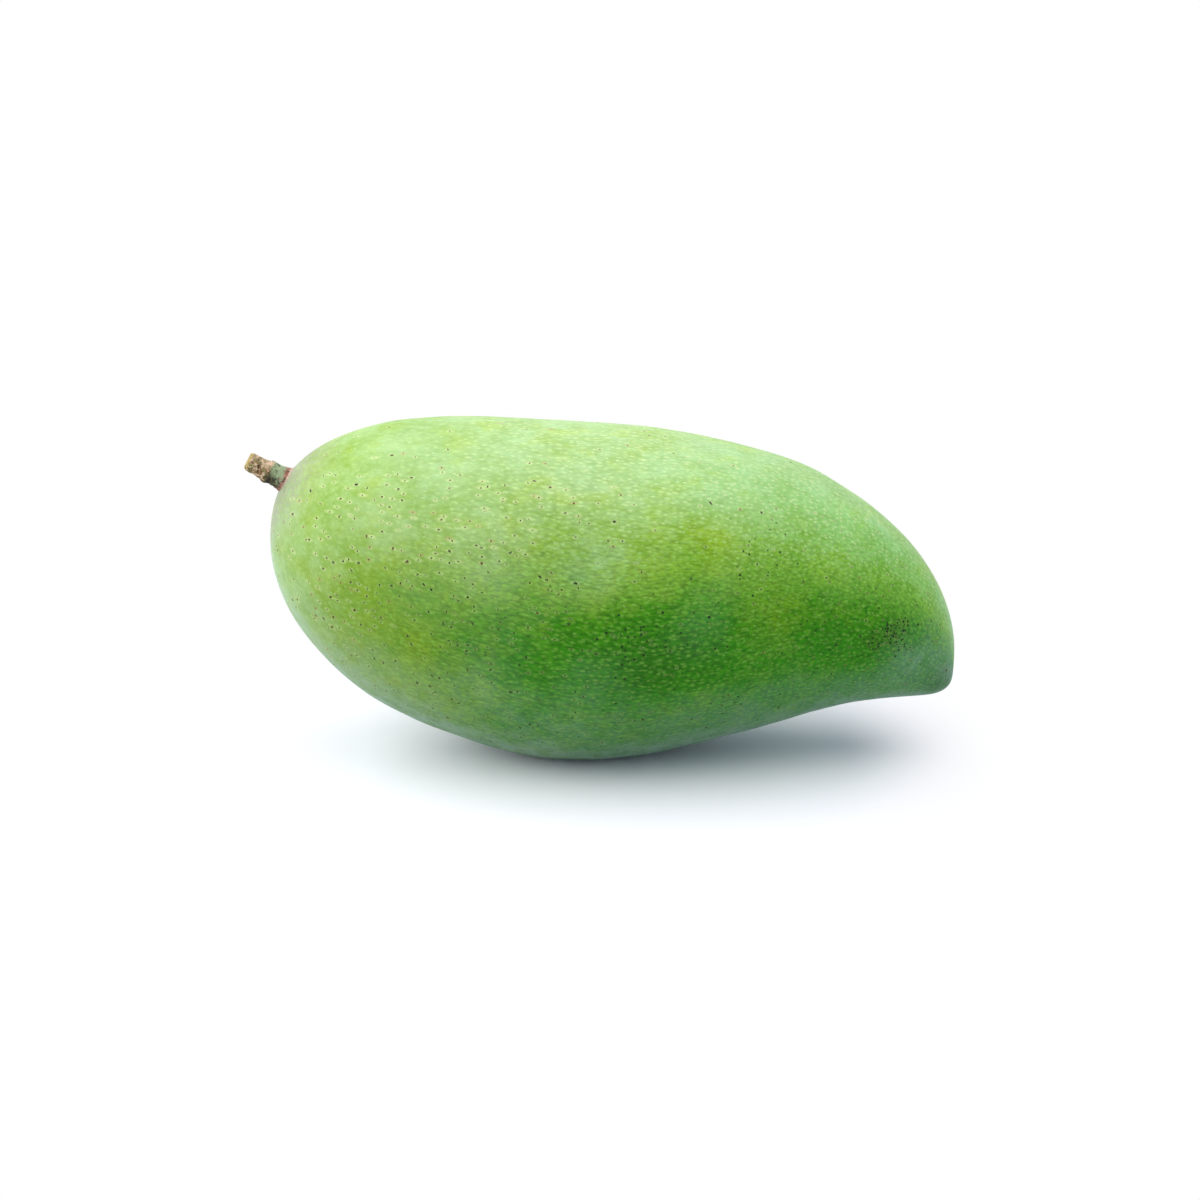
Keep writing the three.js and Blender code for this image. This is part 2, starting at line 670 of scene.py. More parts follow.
@dataclass(frozen=True)
class MangoForm:
    """The fruit's outer form: two outlines over a chord, and egg-shaped sections.

    The chord joins the pole at the stem end to the tip of the beak. Heights of
    the back above it and of the belly below it are sums of sine waves.
    """

    length: float = 150.0 * MM
    back_waves: tuple[float, ...] = (38.1 * MM, -2.8 * MM, 1.2 * MM, 1.0 * MM)
    belly_waves: tuple[float, ...] = (
        33.3 * MM, 9.4 * MM, -2.8 * MM, -0.1 * MM, 1.0 * MM, -0.5 * MM)
    cheek_ratio: float = 0.93
    back_fullness: float = 0.05
    chord_fall: float = math.radians(14.8)
    press_softness: float = 0.5 * MM
    swells: tuple[Ripple, ...] = (
        Ripple(wavelength=34.0 * MM, seed=11, depth=0.28 * MM),
        Ripple(wavelength=11.0 * MM, seed=12, depth=0.07 * MM),
    )
    knobs: tuple[Knob, ...] = (
        Knob(along=0.970, turn=222.0, radius=4.0 * MM, height=0.50 * MM),
        Knob(along=0.905, turn=224.0, radius=4.5 * MM, height=0.50 * MM),
        Knob(along=0.970, turn=138.0, radius=4.0 * MM, height=0.35 * MM),
        Knob(along=0.925, turn=180.0, radius=6.0 * MM, height=-0.45 * MM),
        Knob(along=0.060, turn=0.0, radius=4.2 * MM, height=0.30 * MM),
        Knob(along=0.180, turn=150.0, radius=9.0 * MM, height=-0.30 * MM),
    )

    def plain(self, along: np.ndarray, round_: np.ndarray) -> np.ndarray:
        """Places points on the smooth form, about the chord's middle.

        With turn = pi along, x is half the length times -cos(turn). The section
        there is an oval between the back's and the belly's heights: z is its
        middle plus half its depth times cos(round), and y is the cheek ratio
        times half its depth times sin(round), a little more above than below.
        The whole is then pitched, with the beak down.

        Args:
            along: from 0 at the stem end to 1 at the beak.
            round_: angles about the chord, from 0 at the back.

        Returns:
            Points, with x, y, z last.
        """
        turn = math.pi * along
        back = wave_sum(self.back_waves, turn)
        belly = -wave_sum(self.belly_waves, turn)
        half = (back - belly) / 2.0
        x = -self.length / 2.0 * np.cos(turn)
        y = self.cheek_ratio * half * np.sin(round_)
        y = y * (1.0 + self.back_fullness * np.cos(round_))
        z = (back + belly) / 2.0 + half * np.cos(round_)
        cos, sin = math.cos(self.chord_fall), math.sin(self.chord_fall)
        return np.stack([x * cos + z * sin, y + 0.0 * x, z * cos - x * sin], -1)

    def outward(self, along: np.ndarray, round_: np.ndarray) -> np.ndarray:
        """Finds the outward normal, which crosses the slopes along and around.

        Args:
            along: from 0 at the stem end to 1 at the beak.
            round_: angles about the chord, from 0 at the back.

        Returns:
            Unit normals, with x, y, z last.
        """
        step = 1e-4
        near = np.clip(along, 2 * step, 1 - 2 * step)
        d_along = self.plain(near + step, round_) - self.plain(near - step, round_)
        d_round = self.plain(near, round_ + step) - self.plain(near, round_ - step)
        return unit(np.cross(d_along, d_round))

    def skin(self, along: np.ndarray, round_: np.ndarray) -> np.ndarray:
        """Places points on the form with its low, natural unevenness.

        Each swell moves the skin along its normal by its depth times its ripple,
        and each knob moves it by its relief.

        Args:
            along: from 0 at the stem end to 1 at the beak.
            round_: angles about the chord, from 0 at the back.

        Returns:
            Points, with x, y, z last.
        """
        points = self.plain(along, round_)
        relief = sum(swell.depth * swell.at(points) for swell in self.swells)
        for knob in self.knobs:
            relief = relief + knob.relief(self, points)
        return points + relief[..., None] * self.outward(along, round_)

    def pressed(self, points: np.ndarray, ground: float) -> np.ndarray:
        """Presses the skin flat against the ground where it would go below it.

        The height h above ground becomes (h + sqrt(h^2 + s^2)) / 2, which is h
        well above the ground and rounds off to nothing below it, where s is the
        softness of the edge of the flat spot.

        Args:
            points: points of the skin.
            ground: the ground's height.

        Returns:
            The pressed points.
        """
        height = points[..., 2] - ground
        flat = (height + np.sqrt(height ** 2 + self.press_softness ** 2)) / 2.0
        return np.concatenate([points[..., :2], (ground + flat)[..., None]], -1)


@dataclass(frozen=True)
class Pores:
    """Pores laid out over the fruit. Each array has one row for each pore."""

    point: np.ndarray
    ahead: np.ndarray
    aside: np.ndarray
    seed: np.ndarray
    look: np.ndarray

    def offsets(self, number: np.ndarray, points: np.ndarray) -> np.ndarray:
        """Measures how far points lie from their pores, in millimetres.

        Args:
            number: the pore of each group of points.
            points: the groups of points.

        Returns:
            For each point the distance along the fruit, the distance around it
            and the pore's seed.
        """
        offset = (points - self.point[number][:, None]) / MM
        lead = (offset * self.ahead[number][:, None]).sum(-1)
        side = (offset * self.aside[number][:, None]).sum(-1)
        seed = np.broadcast_to(self.seed[number][:, None], lead.shape)
        return np.stack([lead, side, seed], -1)


@dataclass(frozen=True)
class PoreField:
    """Pores in staggered rows round the fruit, each pushed about at random.

    They lie closer towards the beak, and further apart along the fruit than
    round it. Near the stem most pores have a dark centre, and further on they
    are pale dots. Radii are in millimetres.
    """

    stem_spacing: float = 2.4 * MM
    middle_spacing: float = 1.2 * MM
    beak_spacing: float = 0.92 * MM
    row_stretch: float = 1.42
    closer_by: Rise = Rise(0.10, 0.46)
    closest_by: Rise = Rise(0.5, 0.95)
    stretched_by: Rise = Rise(0.1, 0.45)
    fewest_in_a_row: int = 5
    scatter: float = 0.36
    slimness: float = 0.6
    seed: int = 5
    dark_share: Rise = Rise(0.20, 0.50, 0.58, 0.06)
    dark_off_the_back: Rise = Rise(0.03, 0.16, 0.15, 1.0)
    dark_below: Rise = Rise(0.7, 0.9, 1.0, 0.5)
    faintest_dark: float = 0.75
    faintest_pale: float = 0.40
    paleness: Rise = Rise(0.15, 0.42, 0.30, 1.0)
    smallest: float = 0.26
    size_range: float = 0.14
    shrinking: Rise = Rise(0.6, 1.0, 1.0, 0.88)
    patches: tuple[ScabPatch, ...] = (
        ScabPatch(along=0.43, turn=283.0, radius=10.0 * MM, share=0.42),
        ScabPatch(along=0.52, turn=273.0, radius=9.0 * MM, share=0.22),
        ScabPatch(along=0.61, turn=302.0, radius=9.0 * MM, share=0.16),
        ScabPatch(along=0.77, turn=273.0, radius=7.0 * MM, share=0.22),
        ScabPatch(along=0.30, turn=95.0, radius=12.0 * MM, share=0.6),
        ScabPatch(along=0.74, turn=70.0, radius=9.0 * MM, share=0.4),
    )

    def spacing(self, along: np.ndarray) -> np.ndarray:
        """Works out the distance between pores.

        Args:
            along: places along the fruit.

        Returns:
            The distance: widest at the stem end, least at the beak.
        """
        early = self.closer_by.at(along)
        late = self.closest_by.at(along)
        start = self.stem_spacing + (self.middle_spacing - self.stem_spacing) * early
        return start + (self.beak_spacing - self.middle_spacing) * late

    def row_spacing(self, along: np.ndarray) -> np.ndarray:
        """The distance between rows, stretched beyond the stem end."""
        stretch = 1.0 + (self.row_stretch - 1.0) * self.stretched_by.at(along)
        return stretch * self.spacing(along)

    def rows(self, form: MangoForm) -> tuple[np.ndarray, np.ndarray]:
        """Works out where the rows lie and how many pores each holds.

        The distance along the cheek, measured in local row spacings, is summed
        from the stem end. A row lies at each whole number of that sum, and holds
        its girth divided by the spacing there.

        Args:
            form: the fruit's form.

        Returns:
            Each row's place from 0 to 1, and its number of pores.
        """
        near_pole, steps_along, corners_round = 0.004, 2400, 97
        along = np.linspace(near_pole, 1.0 - near_pole, steps_along)
        cheek = form.plain(along, np.full_like(along, math.pi / 2))
        steps = np.linalg.norm(np.diff(cheek, axis=0), axis=-1)
        middle = (along[1:] + along[:-1]) / 2.0
        count = np.cumsum(steps / self.row_spacing(middle))
        whole = np.arange(1, int(count[-1]))
        row_along = np.interp(whole, count, middle)
        angles = np.linspace(0.0, 2.0 * math.pi, corners_round)
        rings = form.plain(row_along[:, None], angles[None, :])
        girth = np.linalg.norm(np.diff(rings, axis=1), axis=-1).sum(1)
        pores = np.round(girth / self.spacing(row_along))
        return row_along, np.maximum(self.fewest_in_a_row, pores).astype(int)

    def looks(self, along: np.ndarray, round_: np.ndarray, points: np.ndarray,
              form: MangoForm) -> np.ndarray:
        """Chooses how each pore looks: how pale, how dark, and how large.

        Args:
            along: each pore's place along the fruit.
            round_: each pore's angle from the back.
            points: each pore's point.
            form: the fruit's form.

        Returns:
            Three numbers for each pore: paleness, darkness and radius.
        """
        chance, size, strength = np.random.default_rng(self.seed + 1).random((3, len(along)))
        down = turned_down(round_)
        dark_share = self.dark_share.at(along) * self.dark_off_the_back.at(down)
        dark_share = dark_share * self.dark_below.at(down)
        for patch in self.patches:
            dark_share = np.maximum(dark_share, patch.cover(form, points))
        darkness = self.faintest_dark + (1.0 - self.faintest_dark) * strength
        paleness = self.faintest_pale + (1.0 - self.faintest_pale) * strength
        radius = (self.smallest + self.size_range * size) * self.shrinking.at(along)
        dark = (chance < dark_share) * darkness
        return np.stack([self.paleness.at(along) * paleness, dark, radius], -1)

    def scattered(self, form: MangoForm, row_along: np.ndarray, counts: np.ndarray,
                  ) -> tuple[Pores, np.ndarray]:
        """Sets out the pores, each pushed from its place in its row.

        A pore's place is its row's and column's, pushed by a random share of the
        spacing.

        Args:
            form: the fruit's form.
            row_along: each row's place along the fruit.
            counts: each row's number of pores.

        Returns:
            The pores, and each row's stagger.
        """
        draw = np.random.default_rng(self.seed)
        push = draw.uniform(-self.scatter, self.scatter, (counts.sum(), 2))
        stagger = draw.uniform(0.0, 1.0, len(counts))
        starts = np.cumsum(counts) - counts
        row_of = np.repeat(np.arange(len(counts)), counts)
        column = np.arange(counts.sum()) - starts[row_of]
        at = row_along[row_of] + np.gradient(row_along)[row_of] * push[:, 0]
        angle = 2.0 * math.pi * (column + stagger[row_of] + push[:, 1]) / counts[row_of]
        point, outward = form.plain(at, angle), form.outward(at, angle)
        step = 1e-3
        ahead = form.plain(at + step, angle) - point
        ahead = unit(ahead - (ahead * outward).sum(-1, keepdims=True) * outward)
        pores = Pores(point, ahead, np.cross(outward, ahead), draw.random(len(at)),
                      self.looks(at, angle, point, form))
        return pores, stagger

    def lay_out(self, form: MangoForm, along: np.ndarray, round_: np.ndarray
                ) -> tuple[Pores, np.ndarray, np.ndarray]:
        """Lays out the pores and finds the two that lie nearest to each face.

        Four rows about a face and three pores in each are tried. The distance is
        shorter along the fruit by the slimness, as a dot is longer.

        Args:
            form: the fruit's form.
            along: each face's place along the fruit.
            round_: each face's angle.

        Returns:
            The pores, and for each face the numbers of its first and second.
        """
        row_along, counts = self.rows(form)
        pores, stagger = self.scattered(form, row_along, counts)
        starts = np.cumsum(counts) - counts
        centres = form.plain(along, round_)
        home = np.interp(along, row_along, np.arange(len(row_along))).astype(int)
        numbers, distances = [], []
        for row_step in (-1, 0, 1, 2):
            row = np.clip(home + row_step, 0, len(counts) - 1)
            share = np.round(round_ / (2.0 * math.pi) * counts[row] - stagger[row])
            for side_step in (-1, 0, 1):
                number = starts[row] + (share.astype(int) + side_step) % counts[row]
                offset = centres - pores.point[number]
                lead = (offset * pores.ahead[number]).sum(-1)
                far = (offset ** 2).sum(-1) - (1.0 - self.slimness ** 2) * lead ** 2
                numbers.append(number)
                distances.append(far)
        order = np.argsort(np.stack(distances), axis=0)[:2]
        first, second = np.take_along_axis(np.stack(numbers), order, axis=0)
        return pores, first, second


@dataclass(frozen=True)
class SkinTone:
    """Where the skin is deep green, yellowish, in bloom, and scurfy.
    The green's deepening towards the belly is partly painted light and shade.

    A rise reads either the place along the fruit, from 0 at the stem end to 1 at
    the beak, or how far down the skin has turned, from 0 at the back to 1 below.
    Only scurf_reach reads the distance from the stem's seat.
    """

    drift: Ripple = Ripple(wavelength=46.0 * MM, seed=21, depth=0.05)
    cloud: Ripple = Ripple(wavelength=19.0 * MM, seed=22, depth=0.04)
    bloom_cloud: Ripple = Ripple(wavelength=24.0 * MM, seed=23, depth=0.03)

    shoulder_depth: float = 0.25
    beak_lead: float = 0.19
    # Partly the fruit's own tone, partly painted light and shade: pale on the back where light
    # falls from above, deeper down the sides and below.
    deepening_and_painted_shade: Rise = Rise(-0.10, 0.56)
    past_shoulder: Rise = Rise(0.09, 0.51)
    # Painted shade: a deeper band along the cheek, where the side faces neither the light above
    # nor the floor.
    band_painted_shade: Rise = Rise(0.55, 0.70, 0.10, 0.05)
    band_painted_shade_middle: float = 0.52
    band_painted_shade_width: float = 0.13
    belly: Rise = Rise(0.62, 0.82)
    stem_half: Rise = Rise(0.45, 0.62, 1.0, 0.0)
    belly_paler: float = 0.06
    deepest: float = 1.6

    bloom_low: Rise = Rise(0.60, 0.80, 0.0, 0.11)
    bloom_lowest: Rise = Rise(0.80, 1.0, 0.0, 0.36)
    bloom_beak: Rise = Rise(0.80, 0.97, 0.0, 0.28)
    # Painted shade: less bloom under the beak, so that it shows darker there.
    beak_bloom_painted_shade_below: Rise = Rise(0.58, 0.76, 1.0, 0.4)
    bloom_stem_end: Rise = Rise(0.03, 0.15, 0.14, 0.0)

    scurf_reach: Rise = Rise(3.2 * MM, 20.0 * MM, 1.0, 0.0)
    scurf_stem_end: Rise = Rise(0.02, 0.085, 0.45, 0.0)

    ribbon_width: float = 0.075
    ribbon_yellowness: float = 0.55
    ribbon_winding: float = 0.5
    ribbon_start: float = 0.70
    ribbon_climb: Rise = Rise(0.25, 0.52, 0.0, 0.27)
    ribbon_last_climb: Rise = Rise(0.70, 0.84, 0.0, 0.07)
    ribbon_in: Rise = Rise(0.24, 0.42)
    ribbon_out: Rise = Rise(0.86, 0.94, 1.0, 0.0)

    fresh_beyond: Rise = Rise(0.41, 0.76)
    fresh_off_the_back: Rise = Rise(-0.05, 0.06)
    fresh_dip: float = 0.4
    fresh_dip_middle: float = 0.45
    fresh_dip_width: float = 0.12
    weave: Rise = Rise(0.12, 0.50, 0.30, 1.0)

    patches: tuple[TonePatch, ...] = (
        TonePatch(along=0.13, turn=318.0, radius=13.0 * MM, deeper=0.13, yellower=0.10),
        TonePatch(along=0.475, turn=286.0, radius=9.0 * MM, deeper=-0.15, yellower=0.10),
        TonePatch(along=0.375, turn=290.0, radius=8.0 * MM, hazier=0.10, deeper=-0.04),
        TonePatch(along=0.528, turn=263.0, radius=8.0 * MM, deeper=0.24),
        TonePatch(along=0.575, turn=267.0, radius=7.0 * MM, deeper=0.10),
        TonePatch(along=0.27, turn=246.0, radius=11.0 * MM, deeper=0.07),
        TonePatch(along=0.479, turn=256.0, radius=7.0 * MM, hazier=0.05),
        TonePatch(along=0.565, turn=305.0, radius=6.0 * MM, deeper=0.03, yellower=0.8),
        TonePatch(along=0.655, turn=288.0, radius=9.0 * MM, yellower=0.2),
        TonePatch(along=0.721, turn=303.0, radius=7.0 * MM, deeper=0.02, yellower=0.25),
        TonePatch(along=0.465, turn=294.0, radius=8.0 * MM, hazier=0.07, yellower=-0.4),
        TonePatch(along=0.728, turn=304.0, radius=7.0 * MM, deeper=-0.04, yellower=-0.25),
        TonePatch(along=0.584, turn=247.0, radius=8.0 * MM, deeper=-0.14),
        TonePatch(along=0.640, turn=267.0, radius=8.0 * MM, deeper=-0.10),
        TonePatch(along=0.765, turn=275.0, radius=6.0 * MM, yellower=0.45),
        TonePatch(along=0.819, turn=260.0, radius=6.0 * MM, hazier=0.17),
        # Painted shade: the hollow under the beak's tip, made deeper and bluer.
        TonePatch(along=0.930, turn=242.0, radius=6.0 * MM,
                  deeper=0.5, hazier=-0.08, yellower=-0.8),
        TonePatch(along=0.30, turn=95.0, radius=12.0 * MM, deeper=0.10, yellower=0.7),
        TonePatch(along=0.55, turn=70.0, radius=10.0 * MM, deeper=0.14, yellower=0.6),
        TonePatch(along=0.72, turn=100.0, radius=9.0 * MM, hazier=0.12),
    )

    def depth(self, points: np.ndarray, along: np.ndarray, down: np.ndarray) -> np.ndarray:
        """Works out how deep the green is.

        It deepens down from the back, sooner towards the beak: partly the fruit's
        own tone and partly painted light and shade, pale where light falls from
        above and deeper below, with a band of painted shade along the cheek. The
        stem end keeps one even depth. The belly is a little paler on the stem half.
        Two ripples drift over all.

        Args:
            points: points of the skin.
            along: each point's place along the fruit.
            down: how far down it has turned.

        Returns:
            The depth, where 0 is pale, 0.5 middle and 1 deep.
        """
        depth = self.deepening_and_painted_shade.at(down + self.beak_lead * (along - 0.5))
        beyond = self.past_shoulder.at(along)
        painted_band_shade = self.band_painted_shade.at(along) * bell(down - self.band_painted_shade_middle, self.band_painted_shade_width)
        depth = self.shoulder_depth * (1.0 - beyond) + (depth + painted_band_shade) * beyond
        below = self.belly.at(down) * self.stem_half.at(along)
        depth = depth * (1.0 - self.belly_paler * below)
        depth = depth + self.drift.depth * self.drift.at(points)
        return depth + self.cloud.depth * self.cloud.at(points)

    def bloom(self, points: np.ndarray, along: np.ndarray, down: np.ndarray) -> np.ndarray:
        """Works out the cover of bloom: below, at the beak, where it is thinner below as painted
        shade, and on the stem end.

        Args:
            points: points of the skin.
            along: each point's place along the fruit.
            down: how far down it has turned.

        Returns:
            The cover, about from 0 to 1.
        """
        bloom = self.bloom_low.at(down) + self.bloom_lowest.at(down)
        bloom = bloom + self.bloom_beak.at(along) * self.beak_bloom_painted_shade_below.at(down)
        bloom = bloom + self.bloom_stem_end.at(along)
        return bloom + self.bloom_cloud.depth * self.bloom_cloud.at(points)

    def ribbon(self, along: np.ndarray, down: np.ndarray) -> np.ndarray:
        """Works out the yellower ribbon that winds along the cheek, above the bloom.

        Its middle climbs from its start, at the stem end, to beyond the middle of
        the fruit, and a little more near the beak. It fades on both sides as a
        bell, and at both ends.

        Args:
            along: each point's place along the fruit.
            down: how far down it has turned.

        Returns:
            The ribbon's strength, from 0 to 1.
        """
        middle = self.ribbon_start - self.ribbon_climb.at(along)
        middle = middle - self.ribbon_last_climb.at(along)
        ends = self.ribbon_in.at(along) * self.ribbon_out.at(along)
        return ends * bell(down - middle, self.ribbon_width)

    def freshness(self, along: np.ndarray, down: np.ndarray) -> np.ndarray:
        """Works out how much purer the green is: beyond the middle, off the back.

        Args:
            along: each point's place along the fruit.
            down: how far down it has turned.

        Returns:
            The freshness, from 0 to 1, which dips along the cheek.
        """
        beyond = self.fresh_beyond.at(along) * self.fresh_off_the_back.at(down)
        dip = self.fresh_dip * bell(down - self.fresh_dip_middle, self.fresh_dip_width)
        return beyond * (1.0 - dip)

    def at(self, form: MangoForm, points: np.ndarray, along: np.ndarray,
           round_: np.ndarray, seat: np.ndarray) -> tuple[np.ndarray, np.ndarray]:
        """Works out the skin's shares at each point.

        Scurf rings the stem, fades within 20 mm of it, and lies on the stem end.
        The patches add to the depth, the bloom and the yellowness.

        Args:
            form: the fruit's form.
            points: points of the skin, in the row frame.
            along: each point's place along the fruit.
            round_: each point's angle from the back.
            seat: the point where the stem meets the skin.

        Returns:
            First depth of green, and cover of bloom and scurf; then yellowness
            from -1 to 1, strength of the fine weave, and freshness.
        """
        down = turned_down(round_)
        depth = self.depth(points, along, down)
        bloom = self.bloom(points, along, down)
        scurf = self.scurf_reach.at(np.linalg.norm(points - seat, axis=-1))
        scurf = scurf + self.scurf_stem_end.at(along)
        winding = 1.0 + self.ribbon_winding * self.cloud.at(points)
        yellow = self.ribbon_yellowness * self.ribbon(along, down) * winding
        plain = form.plain(along, round_)
        for patch in self.patches:
            cover = patch.cover(form, plain)
            depth = depth + patch.deeper * cover
            bloom = bloom + patch.hazier * cover
            yellow = yellow + patch.yellower * cover
        most = (self.deepest, 1.0, 1.0)
        shares = np.clip(np.stack([depth, bloom, scurf], -1), 0.0, most)
        yellow = np.clip(yellow, -1.0, 1.0)
        return shares, np.stack([yellow, self.weave.at(along), self.freshness(along, down)], -1)


@dataclass(frozen=True)
class Pepper:
    """Fine black specks, thinly over the middle and thick in patches.

    Radii of the specks are shares of their spacing.
    """

    thin: float = 0.03
    thin_from: Rise = Rise(0.3, 0.5)
    thin_to: Rise = Rise(0.85, 0.95, 1.0, 0.0)
    off_the_back: Rise = Rise(0.15, 0.40)
    patches: tuple[ScabPatch, ...] = (
        ScabPatch(along=0.753, turn=270.0, radius=3.6 * MM, share=0.75),
        ScabPatch(along=0.777, turn=278.0, radius=4.2 * MM, share=0.95),
        ScabPatch(along=0.790, turn=285.0, radius=3.2 * MM, share=0.8),
        ScabPatch(along=0.790, turn=269.0, radius=4.6 * MM, share=0.45),
        ScabPatch(along=0.61, turn=304.0, radius=13.0 * MM, share=0.06),
        ScabPatch(along=0.52, turn=270.0, radius=9.0 * MM, share=0.16),
        ScabPatch(along=0.62, turn=80.0, radius=8.0 * MM, share=0.7),
    )
    spacing: float = 0.64 * MM
    shows: Rise = Rise(0.0, 0.02, slope=Slope.STRAIGHT)
    radius: Rise = Rise(0.0, 1.0, 0.28, 0.54)
    edge: Rise = Rise(0.6, 1.2, 1.0, 0.0)

    def at(self, form: MangoForm, along: np.ndarray, round_: np.ndarray) -> np.ndarray:
        """Works out the share of the specks that show, at each point.

        Args:
            form: the fruit's form.
            along: each point's place along the fruit.
            round_: each point's angle.

        Returns:
            The share, from 0 to 1, three times over.
        """
        points = form.plain(along, round_)
        share = self.thin * self.thin_from.at(along) * self.thin_to.at(along)
        share = share * self.off_the_back.at(turned_down(round_))
        for patch in self.patches:
            share = np.maximum(share, patch.cover(form, points))
        return np.repeat(share[..., None], 3, axis=-1)

    def draw(self, make: Recipe, share: Socket) -> Socket:
        """Draws the specks.

        Args:
            make: the recipe that the nodes go into.
            share: the share of the specks that show.

        Returns:
            1 on a speck and 0 between them.
        """
        far, chance, size = make.cells(make.place(), self.spacing)
        shows = make.rise(make.sum(Sum.SUBTRACT, share, chance), self.shows)
        near = make.sum(Sum.DIVIDE, far, make.rise(size, self.radius))
        return make.times(shows, make.rise(near, self.edge))


@dataclass(frozen=True)
class DrawnPore:
    """What the nodes draw of a pore, each from 0 to 1."""

    dot: Socket
    speck: Socket
    halo: Socket
    brown: Socket
    rust: Socket


@dataclass(frozen=True)
class PoreShape:
    """The shape of a pore: a pale slim dot, a dark leaning speck and its ring.

    Lengths are in millimetres, and edges are shares of the pore's radius.
    """

    raggedness: Noise = Noise(0.28 * MM)
    ragged: Rise = Rise(0.25, 0.75, -0.12, 0.12)
    first_draw: float = 0.1
    draws: int = 4
    slimness: Rise = Rise(0.0, 1.0, 0.38, 0.64)
    rounder_when_fresh: float = 0.25
    dot_edge: Rise = Rise(0.25, 1.2, 1.0, 0.0)
    halo_edge: Rise = Rise(0.6, 1.5, 1.0, 0.0)
    lean: Rise = Rise(0.5, 1.3, slope=Slope.STRAIGHT)
    shortness: Rise = Rise(0.0, 1.0, 0.65, 1.1)
    speck_raggedness: float = 1.2
    rarity: float = 3.0
    speck_size: Rise = Rise(-0.85, 5.6, slope=Slope.STRAIGHT)
    speck_edge: Rise = Rise(0.65, 1.35, 1.0, 0.0)
    browned: Rise = Rise(0.68, 0.95)
    rusted: Rise = Rise(0.80, 0.96)

    def distance(self, make: Recipe, along: Socket, around: Socket,
                 uneven: Socket) -> Socket:
        """Measures the distance from a pore, with uneven edges.

        Args:
            make: the recipe that the nodes go into.
            along: the distance along the fruit.
            around: the distance around it.
            uneven: what the edges add.

        Returns:
            The root of the sum of their squares, and the unevenness.
        """
        square = make.plus(make.times(along, along), make.times(around, around))
        return make.plus(make.sum(Sum.ROOT, square), uneven)

    def draw(self, make: Recipe, which: str, fresh: Socket) -> DrawnPore:
        """Draws one of the two nearest pores from its offset.

        Args:
            make: the recipe that the nodes go into.
            which: the name of the pore's attributes.
            fresh: how fresh the green is, as the dots are rounder there.

        Returns:
            The pale dot, the dark speck, its ring, and how brown and rusty it is.
        """
        along, around, seed = make.parts(make.attribute(which))
        pale, dark, radius = make.parts(make.attribute(which + "_look"))
        ragged = make.rise(make.noise(make.place(), self.raggedness), self.ragged)
        slim_draw, brown_draw, rust_draw, size_draw = (
            make.dice(make.plus(seed, self.first_draw + turn)) for turn in range(self.draws))

        slim = make.rise(slim_draw, self.slimness)
        slim = make.times(along, make.plus(slim, make.times(fresh, self.rounder_when_fresh)))
        reach = self.distance(make, slim, around, ragged)
        size = make.sum(Sum.DIVIDE, reach, radius)

        lean = make.times(along, make.rise(slim_draw, self.lean))
        short = make.times(along, make.rise(rust_draw, self.shortness))
        core = self.distance(make, short, make.plus(around, lean),
                             make.times(ragged, self.speck_raggedness))
        large = make.rise(make.sum(Sum.POWER, size_draw, self.rarity), self.speck_size)
        speck = make.rise(make.sum(Sum.DIVIDE, core, large), self.speck_edge)
        return DrawnPore(
            dot=make.times(pale, make.rise(size, self.dot_edge)),
            speck=make.times(dark, speck),
            halo=make.times(dark, make.rise(size, self.halo_edge)),
            brown=make.rise(brown_draw, self.browned),
            rust=make.rise(rust_draw, self.rusted))


